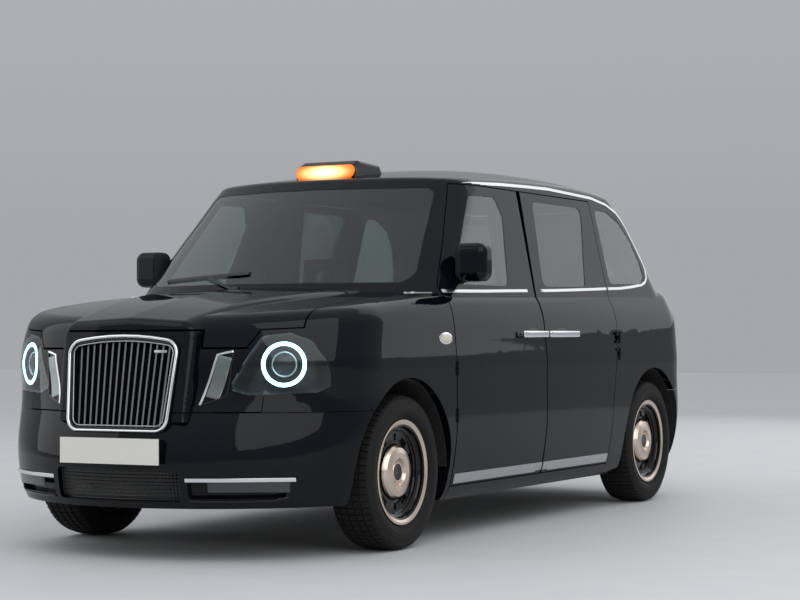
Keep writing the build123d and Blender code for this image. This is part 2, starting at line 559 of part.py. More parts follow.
# Intakes of the bumper: an open middle with a mesh behind it and a recess in each corner.
INTAKE = [(-322, 262), (322, 262), (322, 398), (-322, 398)]
CORNER_RECESS = [(352, 276), (700, 276), (722, 342), (352, 342)]
intake_hole = front_cut(INTAKE, 0, -2600, -2100, 18)
recess = front_cut(CORNER_RECESS, 0, -2600, -1800, 12) - lower_form(28)
front_bumper = front_bumper - intake_hole - recess - mirror_x(recess)
plate_plinth = block(-PLATE_SIZE[0] / 2 + 6, PLATE_SIZE[0] / 2 - 6, -LENGTH / 2 + 4, -2300,
                     PLATE_Z - 50, PLATE_Z + 50)
front_bumper = front_bumper + (plate_plinth - lower_form(0))
number_plate = Pos(0, -LENGTH / 2 + 2, PLATE_Z) * Box(PLATE_SIZE[0], 4, PLATE_SIZE[1])
keep("bonnet", bonnet)
keep("nose_panel", nose_panel)
keep("front_wings", both_sides(wing))
keep("front_bumper", front_bumper)
keep("front_plate", number_plate)

# Grille: frame, upright bars and a backing plate in one leaning slab.
def grille_slab(front, back):
    low_z, high_z = 500.0, 1000.0
    return prism_x([(grille_y(low_z) + front, low_z), (grille_y(high_z) + front, high_z),
                    (grille_y(high_z) + back, high_z), (grille_y(low_z) + back, low_z)], -400, 400)


GRILLE_FRAME = 24.0
BAR_WIDTH = 9.0
frame_outer = front_cut(GRILLE, -FIT, -2600, -2100, GRILLE_ROUND)
frame_inner = front_cut(GRILLE, -GRILLE_FRAME, -2600, -2100, GRILLE_ROUND)
grille = (frame_outer - frame_inner) & grille_slab(-16, 30)
grille_back = frame_outer & grille_slab(26, 34)
pitch = 2 * (GRILLE_TOP_HALF - GRILLE_FRAME) / (GRILLE_BARS + 1)
bars = []
for bar_no in range(GRILLE_BARS):
    bar_x = (bar_no - (GRILLE_BARS - 1) / 2) * pitch
    bar_foot = bar_x * GRILLE_LOW_HALF / GRILLE_TOP_HALF
    bars.append(prism_y([(bar_foot - BAR_WIDTH / 2, GRILLE_LOW_Z + 8), (bar_foot + BAR_WIDTH / 2, GRILLE_LOW_Z + 8),
                         (bar_x + BAR_WIDTH / 2, 990), (bar_x - BAR_WIDTH / 2, 990)], -2600, -2100)
                & grille_slab(0, 28) & frame_outer)
grille = grille + grille_back
for bar in bars:
    grille = grille + bar
intake_mesh = (lower_form(22) - lower_form(30)) & front_cut(INTAKE, 0, -2600, -2100, 18)
keep("grilles", [grille, intake_mesh])

# Headlamps: a bowl behind the skin with a round ring in it, and a clear lens in the skin.
deck_inner = largest(lower_form(GLASS_THICK) & under_deck(GLASS_THICK))
lens = largest((front_cut(HEADLAMP, -FIT, -2600, -1700, 26) & (lower_body - deck_inner)))
bowl_outer = front_cut(HEADLAMP, -FIT, -2600, -1700, 26) \
    & (lower_form(GLASS_THICK + 2) - lower_form(125)) & under_deck(60)
bowl = bowl_outer - (front_cut(HEADLAMP, -9, -2600, -1700, 26) - lower_form(115))
LAMP_RING = (673.0, -2085.0, 843.0)
RING_TURN = 28.0
ring_plane = Pos(*LAMP_RING) * Rot(0, 0, RING_TURN) * Rot(90, 0, 0)
lamp_ring = ring_plane * (Cylinder(96, 60) - Cylinder(74, 60)) + ring_plane * Pos(0, 0, -22) * Cylinder(92, 16)
lamp_ring = lamp_ring + ring_plane * Pos(0, 0, -85) * Cylinder(40, 120)
lamp_ring = (lamp_ring & lower_form(GLASS_THICK + 5)) - lower_form(120)
headlamp = bowl + largest(lamp_ring)
keep("headlamps", both_sides(headlamp))
keep("headlamp_lenses", both_sides(lens))

# Scuttle, bulkhead and the beam under the windscreen.
BULKHEAD_Y = FRONT_AXLE_Y + ARCH_R
bulkhead = (block(-1000, 1000, BULKHEAD_Y, BULKHEAD_Y + 20, FLOOR_Z - FLOOR_THICK, 1080)
            & lower_form(NOSE_WALL))
cowl_beam = block(-748, 748, -1430, BULKHEAD_Y + 20, 1080, 1100) & lower_form(NOSE_WALL) & scuttle_arc
flange = (scuttle_arc - tube_z(SCUTTLE_EDGE_R - 12, 0, SCUTTLE_ARC_Y, 900, 1400)) \
    & block(-740, 740, -1500, -1100, 1080, 1400) & under_deck(30)
scuttle = scuttle_skin + bulkhead + cowl_beam + (flange - upper_form(-FIT))
keep("scuttle", scuttle)

# Underbody: front floor, step up to the rear floor and the inner sills.
REAR_FLOOR_Z = 548.0
REAR_FLOOR_Y = 1100.0
clear_form = lower_form(LOWER_WALL + SHUT_GAP)
inner_sills = (lower_form(LOWER_WALL) - lower_form(LOWER_WALL + 70)) \
    & block(-1000, 1000, BULKHEAD_Y + 20, REAR_AXLE_Y - ARCH_R - 20, SILL_Z, DOOR_BOTTOM_Z - half_gap)
inner_sills += (clear_form - lower_form(LOWER_WALL + 70)) \
    & block(-1000, 1000, BULKHEAD_Y + 20, REAR_AXLE_Y - ARCH_R - 20, SILL_Z, FLOOR_Z)
front_floor = clear_form & block(-1000, 1000, BULKHEAD_Y + 20, REAR_FLOOR_Y, FLOOR_Z - FLOOR_THICK, FLOOR_Z)
rear_floor = block(-657, 657, REAR_FLOOR_Y - FLOOR_THICK, 2000, REAR_FLOOR_Z - FLOOR_THICK, REAR_FLOOR_Z) \
    + (lower_form(LOWER_WALL) & block(-1000, 1000, REAR_AXLE_Y + ARCH_R + 4, 2600,
                                      REAR_FLOOR_Z - FLOOR_THICK, REAR_FLOOR_Z)) \
    + block(-657, 657, REAR_FLOOR_Y - FLOOR_THICK, REAR_FLOOR_Y, FLOOR_Z - FLOOR_THICK, REAR_FLOOR_Z)
underbody = inner_sills + front_floor + rear_floor
keep("underbody", underbody)
battery = block(-450, 450, -750, 950, 200, FLOOR_Z - FLOOR_THICK)
engine = block(-250, 250, -1960, -1420, 430, 940) + block(-330, 330, -1760, -1600, 440, 500)
keep("power_units", [battery, engine])

# Wheelhouses: half tubes over the wheels with an inner end wall.
def wheelhouse(y, wall_x, wall_low_z):
    shell = tube_x(ARCH_R, wall_x, 900, y, TYRE_R) - tube_x(ARCH_R - 7, wall_x + 8, 901, y, TYRE_R)
    upper = block(0, 1000, y - ARCH_R, y + ARCH_R, TYRE_R, TYRE_R + ARCH_R)
    low_wall = block(wall_x - 1, wall_x + 8, y - ARCH_R, y + ARCH_R, TYRE_R - 1, wall_low_z)
    return (shell & upper) - low_wall


front_house = wheelhouse(FRONT_AXLE_Y, 432, 560) & lower_form(14)
rear_house = wheelhouse(REAR_AXLE_Y, 657, REAR_FLOOR_Z - FLOOR_THICK) & lower_form(14)
keep("wheelhouses", both_sides(front_house) + both_sides(rear_house))

# Wheels: a rim with a dished face, hub and brake disc, turned about the axle.
def turned(points, x, y):
    """Ring turned about a wheel's axle; points are (along the axle, radius)."""
    face = make_face(Polyline(*[(px, pr) for px, pr in points], close=True))
    return Pos(x, y, TYRE_R) * revolve(face, Axis.X)


RIM_PROFILE = [(-93, 226), (-93, RIM_R), (-86, RIM_R), (-86, SEAT_R), (-66, SEAT_R), (-58, BARREL_R),
               (58, BARREL_R), (66, SEAT_R), (86, SEAT_R), (86, RIM_R), (93, RIM_R), (93, 226),
               (84, 206), (66, 206), (58, 190), (-58, 190), (-66, 206), (-84, 206)]
FACE_PROFILE = [(64, 0), (66, 44), (58, 50), (58, 54), (74, 62), (78, 86), (72, 110), (60, 120), (44, 128),
                (41, 152), (46, 184), (60, 200), (80, 210), (64, 210), (56, 193), (32, 184), (29, 150),
                (32, 126), (46, 112), (50, 70), (50, 0)]
HUB_PROFILE = [(-10, HUB_BORE_R), (-10, 62), (56, 68), (56, HUB_BORE_R)]
DISC_PROFILE = [(-8, 60), (-8, 150), (8, 150), (8, 60)]
TYRE_PROFILE = [(66, SEAT_R), (85.8, SEAT_R), (85.8, 240), (104, 262), (107.5, 290), (101, 322),
                (86, 341), (60, 349), (0, TYRE_R)]
TYRE_INSIDE = [(0, 340), (74, 332), (92, 300), (94, 270), (66, 232)]
tyre_points = [(x, r) for x, r in TYRE_PROFILE] + [(-x, r) for x, r in TYRE_PROFILE[-2::-1]] \
    + [(-x, r) for x, r in TYRE_INSIDE[::-1]] + [(x, r) for x, r in TYRE_INSIDE[1:]]
VENTS = 10
VENT_PITCH_R = 156.0
VENT_SIZE = (30.0, 52.0)


def wheel_at(y):
    body = turned(RIM_PROFILE, WHEEL_X, y) + turned(FACE_PROFILE, WHEEL_X, y)
    body = body + turned(HUB_PROFILE, WHEEL_X, y) + turned(DISC_PROFILE, WHEEL_X, y)
    vent = Box(60, VENT_SIZE[1], VENT_SIZE[0])
    for vent_no in range(VENTS):
        body = body - Pos(WHEEL_X + 66, y, TYRE_R) * Rot(360 / VENTS * vent_no, 0, 0) \
            * Pos(0, 0, VENT_PITCH_R) * vent
    return body


front_wheel, rear_wheel = wheel_at(FRONT_AXLE_Y), wheel_at(REAR_AXLE_Y)
front_tyre = turned(tyre_points, WHEEL_X, FRONT_AXLE_Y)
rear_tyre = turned(tyre_points, WHEEL_X, REAR_AXLE_Y)
for end, wheel, tyre in (("front", front_wheel, front_tyre), ("rear", rear_wheel, rear_tyre)):
    keep(f"{end}_wheel_left", wheel)
    keep(f"{end}_wheel_right", mirror_x(wheel))
    keep(f"{end}_tyre_left", tyre)
    keep(f"{end}_tyre_right", mirror_x(tyre))

# Front uprights turn about the kingpin; the spindle stands in the wheel's hub.
PIN_R = 9.0
KNUCKLE_TOP_Z = TYRE_R + BALL_JOINT_RISE
KNUCKLE_LOW_Z = TYRE_R - BALL_JOINT_RISE
EYE_HALF = 12.0
SPINDLE_R = HUB_BORE_R - SPINDLE_PLAY


def caliper(y, way):
    """Block that straddles the brake disc, on the side of the axle given by way."""
    wedge = prism_x([(y, TYRE_R), (y + way * 190, TYRE_R + 105), (y + way * 190, TYRE_R - 105)],
                    WHEEL_X - 35, WHEEL_X + 24)
    ring = tube_x(168, WHEEL_X - 35, WHEEL_X + 24, y, TYRE_R) \
        - tube_x(100, WHEEL_X - 36, WHEEL_X + 25, y, TYRE_R) \
        - tube_x(156, WHEEL_X - 14, WHEEL_X + 14, y, TYRE_R)
    return ring & wedge


def stub(y, way):
    arm = block(WHEEL_X - 35, WHEEL_X - 16, min(y, y + way * 112), max(y, y + way * 112),
                TYRE_R - 30, TYRE_R + 30)
    return tube_x(SPINDLE_R, WHEEL_X - 35, WHEEL_X + 46, y, TYRE_R) + arm + caliper(y, way)


knuckle = tube_z(22, KINGPIN_X, FRONT_AXLE_Y, KNUCKLE_LOW_Z + EYE_HALF + 5, KNUCKLE_TOP_Z - EYE_HALF - 5) \
    + tube_z(PIN_R - SPINDLE_PLAY, KINGPIN_X, FRONT_AXLE_Y, KNUCKLE_LOW_Z - EYE_HALF, KNUCKLE_TOP_Z + EYE_HALF) \
    + tube_x(44, KINGPIN_X - 18, KINGPIN_X + 19, FRONT_AXLE_Y, TYRE_R) + stub(FRONT_AXLE_Y, 1)
keep("knuckle_left", knuckle)
keep("knuckle_right", mirror_x(knuckle))

# Front subframe: side rails, bumper beam, cross member and one pair of arms a side.
RAIL_X = (330.0, 420.0)
RAIL_Z = (420.0, 520.0)
ARM_ROOT_X = 360.0
ARM_NECK_X = KINGPIN_X - 230


def arm_at(z, root_x):
    outline = [(root_x, FRONT_AXLE_Y - 140), (ARM_NECK_X, FRONT_AXLE_Y - ARM_WIDTH / 2),
               (KINGPIN_X, FRONT_AXLE_Y - ARM_WIDTH / 2), (KINGPIN_X, FRONT_AXLE_Y + ARM_WIDTH / 2),
               (ARM_NECK_X, FRONT_AXLE_Y + ARM_WIDTH / 2), (root_x, FRONT_AXLE_Y + 140)]
    arm = prism_z(outline, z - EYE_HALF, z + EYE_HALF)
    arm += tube_z(ARM_WIDTH / 2, KINGPIN_X, FRONT_AXLE_Y, z - EYE_HALF, z + EYE_HALF)
    return arm - tube_z(PIN_R, KINGPIN_X, FRONT_AXLE_Y, z - 2 * EYE_HALF, z + 2 * EYE_HALF)


rail = block(*RAIL_X, -2300, BULKHEAD_Y, *RAIL_Z) & lower_form(NOSE_WALL)
leg = block(*RAIL_X, FRONT_AXLE_Y - 70, FRONT_AXLE_Y + 70, KNUCKLE_LOW_Z, RAIL_Z[0])
beam = (lower_form(NOSE_WALL) - lower_form(NOSE_WALL + 45)) & block(-560, 560, -2450, -2100, *RAIL_Z)
cross = block(-RAIL_X[1], RAIL_X[1], FRONT_AXLE_Y - 120, FRONT_AXLE_Y + 120, 216, 272)
subframe = cross + beam
half_frame = rail + leg + arm_at(KNUCKLE_LOW_Z, ARM_ROOT_X) + arm_at(KNUCKLE_TOP_Z, RAIL_X[1] - 20)
subframe = subframe + half_frame + mirror_x(half_frame)
keep("front_subframe", subframe)

# Rear suspension: a cross beam with trailing arms, springs and fixed spindles.
rear_arm = prism_x([(1010, 270), (1100, 270), (1590, 318), (1590, 380), (1100, 330), (1100, 302),
                    (1010, 302)], 520, 590)
rear_beam = block(-KINGPIN_X, KINGPIN_X, REAR_AXLE_Y - 45, REAR_AXLE_Y + 45, 312, 388)
upright = tube_x(60, KINGPIN_X - 20, WHEEL_X - 16, REAR_AXLE_Y, TYRE_R)
spring = tube_z(48, 500, REAR_AXLE_Y, 380, REAR_FLOOR_Z - FLOOR_THICK)
half_rear = rear_arm + upright + stub(REAR_AXLE_Y, -1) + spring
rear_suspension = rear_beam + half_rear + mirror_x(half_rear)
keep("rear_suspension", rear_suspension)

# Cabin fittings.
SEAT_PITCH = 400.0
DASH = [(BULKHEAD_Y + 20, 640), (BULKHEAD_Y + 20, 1080), (-985, 1112), (-930, 1126), (-830, 1104),
        (-790, 1060), (-782, 980), (-800, 880), (-870, 800), (-950, 700)]
cabin_room = lower_form(LOWER_WALL + SHUT_GAP + 4)
dashboard = prism_x(DASH, -900, 900) & cabin_room
column_plane = Pos(DRIVER_X, -700, 985) * Rot(-65, 0, 0)
dashboard = dashboard + column_plane * Pos(0, 0, -130) * Cylinder(34, 190)
dashboard = dashboard - column_plane * Pos(0, 0, -90) * Cylinder(15, 260)
steering_wheel = column_plane * Torus(180, 13) + column_plane * Pos(0, 0, -8) * Cylinder(52, 36) \
    + column_plane * Pos(0, 0, -55) * Cylinder(15 - SPINDLE_PLAY, 100) \
    + column_plane * (Box(356, 30, 14) + Pos(0, -88, 0) * Box(30, 176, 14))
keep("dashboard", dashboard)
keep("steering_wheel", steering_wheel)
driver_seat = Pos(DRIVER_X, 0, 0) * (
    block(-190, 190, -400, -40, FLOOR_Z, 560)
    + fillet(block(-250, 250, -460, -20, 560, 690).edges(), 30)
    + prism_x([(-110, 640), (0, 640), (70, 1180), (-20, 1180)], -240, 240, 24)
    + (prism_x([(-20, 1170), (62, 1170), (78, 1390), (6, 1390)], -140, 140, 20)
       - prism_x([(-60, 1225), (120, 1225), (120, 1320), (-60, 1320)], -75, 75, 20)))
keep("driver_seat", driver_seat)

GLASS_LOW_Z = 960.0
partition_room = (lower_form(LOWER_WALL + 12) & block(-1000, 1000, 0, 200, FLOOR_Z, WAIST_Z - 42)) \
    + (upper_form(UPPER_WALL + 50) & under_roof(ROOF_WALL))
partition_slab = block(-1000, 1000, PARTITION_Y, PARTITION_Y + 20, FLOOR_Z, 1900) & partition_room
partition_hole = prism_y([(-640, GLASS_LOW_Z), (640, GLASS_LOW_Z), (560, 1690), (-560, 1690)],
                         PARTITION_Y - 1, PARTITION_Y + 21, 40)
partition = partition_slab - partition_hole
partition_glass = prism_y([(-640, GLASS_LOW_Z), (640, GLASS_LOW_Z), (560, 1690), (-560, 1690)],
                          PARTITION_Y + 6, PARTITION_Y + 14, 40)
TIP_HINGE_Y = PARTITION_Y + 70
TIP_HINGE_Z = 600.0
lugs = [block(x - 9, x + 9, PARTITION_Y + 18, TIP_HINGE_Y + 22, TIP_HINGE_Z - 22, TIP_HINGE_Z + 22)
        for seat in (-1, 0, 1) for x in (seat * SEAT_PITCH - 170, seat * SEAT_PITCH + 170)]
for lug in lugs:
    partition = partition + lug
for seat in (-1, 0, 1):
    partition = partition - tube_x(PIN_R, seat * SEAT_PITCH - 190, seat * SEAT_PITCH + 190,
                                   TIP_HINGE_Y, TIP_HINGE_Z)
keep("partition", partition)
keep("partition_glass", partition_glass)
tip_seat = tube_x(PIN_R - SPINDLE_PLAY, -179, 179, TIP_HINGE_Y, TIP_HINGE_Z) \
    + block(-150, 150, TIP_HINGE_Y - 14, TIP_HINGE_Y + 14, TIP_HINGE_Z - 10, TIP_HINGE_Z + 90) \
    + fillet(block(-185, 185, TIP_HINGE_Y - 38, TIP_HINGE_Y + 38, TIP_HINGE_Z + 45,
                   TIP_HINGE_Z + 400).edges(), 20)
for seat, label in ((-1, "right"), (0, "middle"), (1, "left")):
    keep(f"tip_seat_{label}", Pos(seat * SEAT_PITCH, 0, 0) * tip_seat)

bench = fillet(block(-610, 610, 1060, 1520, 640, 770).edges(), 34) \
    + block(-600, 600, REAR_FLOOR_Y, 1500, REAR_FLOOR_Z, 660) \
    + prism_x([(1490, 700), (1600, 700), (1680, 1270), (1590, 1270)], -610, 610, 30)
for seat in (-1, 0, 1):
    bench = bench + prism_x([(1600, 1250), (1675, 1250), (1700, 1400), (1630, 1400)],
                            seat * SEAT_PITCH - 120, seat * SEAT_PITCH + 120, 18)
keep("rear_bench", bench)

# Roof sign and wipers.
sign = prism_x([(-612, 1735), (-585, 1838), (-545, 1856), (-330, 1846), (-286, 1790), (-286, 1700),
                (-612, 1700)], -170, 170)
sign = fillet([e for e in sign.edges() if e.center().Z > 1790 and abs(e.center().X) > 150], 20) - cabin
sign = largest(sign)
keep("roof_sign", sign)
WIPER_BLADE = [(-610, 1236), (-50, 1262), (-50, 1276), (-610, 1250)]
WIPER_ARM = [(-96, 1186), (-70, 1186), (-300, 1262), (-326, 1256)]
wiper = ((upper_form(-10) - upper_form(GLASS_SET)) & front_cut(WIPER_BLADE, 0, -1700, -900)) \
    + ((upper_form(-14) - upper_form(-6)) & front_cut(WIPER_ARM, 0, -1700, -900)) \
    + ((upper_form(-14) - upper_form(0)) & front_cut([(-100, 1180), (-66, 1180), (-66, 1204),
                                                      (-100, 1204)], 0, -1700, -900))
wiper = wiper - scuttle_skin
keep("wipers", wiper)
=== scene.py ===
from math import sin, cos, pi, radians, exp
import bpy
import bmesh
from mathutils import Matrix, Vector


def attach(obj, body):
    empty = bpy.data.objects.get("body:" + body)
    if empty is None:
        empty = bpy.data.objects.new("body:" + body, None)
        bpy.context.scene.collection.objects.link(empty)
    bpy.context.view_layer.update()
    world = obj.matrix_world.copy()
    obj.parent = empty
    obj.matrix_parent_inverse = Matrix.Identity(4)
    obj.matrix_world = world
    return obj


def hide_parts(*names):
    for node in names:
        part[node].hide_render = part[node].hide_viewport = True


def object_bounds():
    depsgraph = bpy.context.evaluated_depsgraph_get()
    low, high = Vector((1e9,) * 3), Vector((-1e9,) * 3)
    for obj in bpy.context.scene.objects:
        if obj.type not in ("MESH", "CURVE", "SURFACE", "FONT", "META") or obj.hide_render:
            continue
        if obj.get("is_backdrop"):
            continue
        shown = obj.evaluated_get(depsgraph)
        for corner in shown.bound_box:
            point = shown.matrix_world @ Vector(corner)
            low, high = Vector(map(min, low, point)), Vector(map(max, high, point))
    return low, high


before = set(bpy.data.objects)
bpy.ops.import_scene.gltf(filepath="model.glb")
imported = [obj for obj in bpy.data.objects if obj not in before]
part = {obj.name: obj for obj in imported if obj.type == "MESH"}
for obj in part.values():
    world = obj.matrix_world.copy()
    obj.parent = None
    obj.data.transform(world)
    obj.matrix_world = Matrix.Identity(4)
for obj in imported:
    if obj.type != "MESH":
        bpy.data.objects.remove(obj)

cad_low, cad_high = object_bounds()


# Studio: a pale floor that the cab stands on, two large soft lamps, an even pale sky,
# and the camera at the photograph's place, low in front of the cab's left side.
def linear(hex_colour):
    """Linear red, green, blue and alpha of an sRGB hex colour."""
    shares = [int(hex_colour[i:i + 2], 16) / 255 for i in (1, 3, 5)]
    return tuple(c / 12.92 if c < 0.04045 else ((c + 0.055) / 1.055) ** 2.4 for c in shares) + (1.0,)


def new_material(name):
    made = bpy.data.materials.new(name)
    made.use_nodes = True
    made.node_tree.nodes.clear()
    return made


def add(tree_owner, kind, sockets={}, **settings):
    """Adds one shader node; a (node, output) pair links a socket, anything else sets it."""
    def socket(group, key):
        return group[key] if isinstance(key, int) else next(s for s in group if s.name == key and s.enabled)

    tree = tree_owner.node_tree
    made = tree.nodes.new("ShaderNode" + kind)
    for name, value in settings.items():
        setattr(made, name, value)
    for name, value in sockets.items():
        if isinstance(value, tuple) and isinstance(value[0], bpy.types.Node):
            tree.links.new(socket(value[0].outputs, value[1]), socket(made.inputs, name))
        else:
            socket(made.inputs, name).default_value = value
    return made


def surface(owner, sockets):
    """Closes a material with one principled surface."""
    shader = add(owner, "BsdfPrincipled", sockets)
    add(owner, "OutputMaterial", {"Surface": (shader, "BSDF")})


def blend(owner, share, low, high):
    """Mixes two hex colours by a share from another node."""
    return add(owner, "Mix", {"Factor": share, "A": linear(low), "B": linear(high)}, data_type="RGBA")


def clear_selection():
    bpy.ops.object.select_all(action="DESELECT")


clear_selection()
bpy.ops.mesh.primitive_plane_add(size=80)
floor = bpy.context.object
floor.name = "studio_floor"
paving = new_material("painted_studio_floor")
floor_speckle = add(paving, "TexNoise", {
    "Vector": (add(paving, "TexCoord"), "Object"), "Scale": 3.0, "Detail": 4.0})
floor_tone = add(paving, "ValToRGB", {"Fac": (floor_speckle, "Fac")})
floor_tone.color_ramp.elements[0].color = linear("#c8c9ca")
floor_tone.color_ramp.elements[1].color = linear("#d2d2d2")
surface(paving, {"Base Color": (floor_tone, "Color"), "Roughness": 0.62})
floor.data.materials.append(paving)
floor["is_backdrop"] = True

LAMP_AIM = Vector((0, 0, 0.8))
for lamp_name, place, size, watts in (("key_lamp", (7.5, -6.5, 7.0), 11.0, 500.0),
                                      ("fill_lamp", (-8.0, -5.0, 5.0), 10.0, 240.0),
                                      ("back_lamp", (2.0, 9.0, 6.5), 11.0, 260.0)):
    bpy.ops.object.light_add(type="AREA", location=place)
    lamp = bpy.context.object
    lamp.name = lamp_name
    lamp.data.size = size
    lamp.data.energy = watts
    lamp.rotation_euler = (LAMP_AIM - Vector(place)).to_track_quat("-Z", "Y").to_euler()

sky = bpy.data.worlds.new("studio_sky")
bpy.context.scene.world = sky
sky.use_nodes = True
sky.node_tree.nodes.clear()
sky_place = add(sky, "TexCoord")
sky_height = add(sky, "SeparateXYZ", {"Vector": (sky_place, "Generated")})
sky_rise = add(sky, "MapRange", {
    "Value": (sky_height, "Z"), "From Min": 0.05, "From Max": 0.9, "To Min": 0.44, "To Max": 0.84})
sky_light = add(sky, "Background", {"Color": linear("#eef1f5"), "Strength": (sky_rise, "Result")})
add(sky, "OutputWorld", {"Surface": (sky_light, "Background")})
bpy.context.scene.view_settings.view_transform = "Standard"

bpy.ops.object.camera_add()
camera = bpy.context.object
camera.name = "photo_camera"
CAMERA_PLACE = (5.1909, -9.3485, 0.9562)
CAMERA_YAW, CAMERA_PITCH, CAMERA_ROLL = 0.49848, 0.01871, -0.00452
SENSOR_MM, FOCAL_PIXELS, PICTURE_PIXELS = 36.0, 1998.0, 800.0
ahead = Vector((-sin(CAMERA_YAW) * cos(CAMERA_PITCH), cos(CAMERA_YAW) * cos(CAMERA_PITCH),
                sin(CAMERA_PITCH)))
across = Vector((cos(CAMERA_YAW), sin(CAMERA_YAW), 0))
upward = across.cross(ahead)
view_x = across * cos(CAMERA_ROLL) + upward * sin(CAMERA_ROLL)
view_y = upward * cos(CAMERA_ROLL) - across * sin(CAMERA_ROLL)
camera_turn = Matrix((view_x, view_y, -ahead)).transposed().to_4x4()
camera.matrix_world = Matrix.Translation(CAMERA_PLACE) @ camera_turn
camera.data.sensor_width = SENSOR_MM
camera.data.lens = SENSOR_MM * FOCAL_PIXELS / PICTURE_PIXELS
bpy.context.scene.camera = camera


# Pressed steel body: black enamel under a clear lacquer with a faint orange peel, and road
# film near the sills. Faces that look inwards, told by their place and normal, are lined
# with dark grey moulded trim board.
CABIN_MIDDLE_Z = 1.1
DIRT_FULL_Z, DIRT_NONE_Z = 0.24, 0.52
LACQUER = 0.75


def body_paint(name, inward_axis):
    """Black enamel outside and trim board on faces that look back along inward_axis."""
    made = new_material(name)
    place = add(made, "TexCoord")
    peel = add(made, "TexNoise", {"Vector": (place, "Object"), "Scale": 260.0, "Detail": 2.0})
    film = add(made, "TexNoise", {
        "Vector": (place, "Object"), "Scale": 2.2, "Detail": 6.0, "Roughness": 0.6})
    height = add(made, "SeparateXYZ", {"Vector": (place, "Object")})
    low = add(made, "MapRange", {
        "Value": (height, "Z"), "From Min": DIRT_FULL_Z, "From Max": DIRT_NONE_Z, "To Min": 1.0,
        "To Max": 0.0})
    dirt = add(made, "Math", {0: (low, "Result"), 1: (film, "Fac")}, operation="MULTIPLY")
    colour = blend(made, (dirt, "Value"), "#06080e", "#151516")
    gloss = add(made, "MapRange", {
        "Value": (dirt, "Value"), "From Min": 0.0, "From Max": 0.8, "To Min": 0.32, "To Max": 0.5})
    facing = add(made, "VectorMath", {0: (place, "Object"), 1: inward_axis}, operation="MULTIPLY")
    centred = add(made, "VectorMath", {
        0: (facing, "Vector"), 1: (0, 0, CABIN_MIDDLE_Z * inward_axis[2])}, operation="SUBTRACT")
    looks_out = add(made, "VectorMath", {
        0: (centred, "Vector"), 1: (place, "Normal")}, operation="DOT_PRODUCT")
    lined = add(made, "Math", {0: (looks_out, "Value"), 1: -0.12}, operation="LESS_THAN")
    grain = add(made, "TexVoronoi", {"Vector": (place, "Object"), "Scale": 420.0})
    board = blend(made, (grain, "Distance"), "#26272a", "#303135")
    skin = add(made, "Mix", {
        "Factor": (lined, "Value"), "A": (colour, "Result"), "B": (board, "Result")}, data_type="RGBA")
    dull = add(made, "Mix", {
        "Factor": (lined, "Value"), "A": (gloss, "Result"), "B": 0.62}, data_type="FLOAT")
    bare = add(made, "Math", {0: 1.0, 1: (lined, "Value")}, operation="SUBTRACT")
    lacquer = add(made, "Math", {0: (bare, "Value"), 1: LACQUER}, operation="MULTIPLY")
    relief = add(made, "Bump", {"Height": (peel, "Fac"), "Strength": 0.012, "Distance": 0.002})
    surface(made, {
        "Base Color": (skin, "Result"), "Roughness": (dull, "Result"), "Specular IOR Level": 0.0,
        "Coat Weight": (lacquer, "Value"), "Coat Roughness": 0.03, "Coat IOR": 1.36,
        "Normal": (relief, "Normal")})
    return made


def dress(finish, *nodes):
    """Gives CAD pieces a finish in all of their slots."""
    for name in nodes:
        for slot in part[name].material_slots:
            slot.material = finish


side_enamel = body_paint("black_enamel_sides", (1, 0, 1))
end_enamel = body_paint("black_enamel_ends", (0, 1, 0))
cowl_enamel = body_paint("black_enamel_nose", (0, 0, 0))
dress(side_enamel, "body_sides", "roof_panel", "front_door_left", "front_door_right", "rear_door_left",
      "rear_door_right")
dress(end_enamel, "tailgate", "rear_bumper")
dress(cowl_enamel, "scuttle", "front_wings", "front_bumper", "nose_panel", "bonnet", "roof_sign")


# Windows: toughened soda-lime float glass, five millimetres, body-tinted grey-green and
# polished on both faces. Lamps reach through it, so the cabin behind it can be seen.
def window_glass(name, tint, shade_tint, refraction=1.5):
    made = new_material(name)
    pane = add(made, "BsdfPrincipled", {
        "Base Color": linear(tint), "Roughness": 0.0, "Transmission Weight": 1.0, "IOR": refraction})
    lit = add(made, "BsdfTransparent", {"Color": linear(shade_tint)})
    ray = add(made, "LightPath")
    through = add(made, "MixShader", {0: (ray, "Is Shadow Ray"), 1: (pane, "BSDF"), 2: (lit, "BSDF")})
    add(made, "OutputMaterial", {"Surface": (through, "Shader")})
    return made


front_glass = window_glass("tinted_float_glass", "#aab4b1", "#98a29f")
privacy_glass = window_glass("privacy_float_glass", "#6f7877", "#707877")
clear_glass = window_glass("clear_polycarbonate", "#f0f6f8", "#e8eef0")
dress(front_glass, "fixed_glass", "front_door_glass_left", "front_door_glass_right")
dress(privacy_glass, "rear_door_glass_left", "rear_door_glass_right", "tailgate_glass")
dress(clear_glass, "partition_glass")
dress(window_glass("coated_lamp_cover", "#e4f4f8", "#e0eef2", 1.36), "headlamp_lenses")


# Dark moulded and coated parts: glass-filled polypropylene in the cabin and wipers, and
# underseal on the floor, with the fine leather-like grain of the tool and chalky wear.
def moulded_plastic(name, dark, light, roughness, grain_mm):
    made = new_material(name)
    place = add(made, "TexCoord")
    grain = add(made, "TexVoronoi", {"Vector": (place, "Object"), "Scale": 1000.0 / grain_mm})
    wear = add(made, "TexNoise", {"Vector": (place, "Object"), "Scale": 9.0, "Detail": 5.0})
    tone = blend(made, (wear, "Fac"), dark, light)
    relief = add(made, "Bump", {
        "Height": (grain, "Distance"), "Strength": 0.25, "Distance": grain_mm / 4000.0})
    shine = add(made, "MapRange", {
        "Value": (wear, "Fac"), "To Min": roughness - 0.08, "To Max": roughness + 0.08})
    surface(made, {
        "Base Color": (tone, "Result"), "Roughness": (shine, "Result"), "Normal": (relief, "Normal")})
    return made


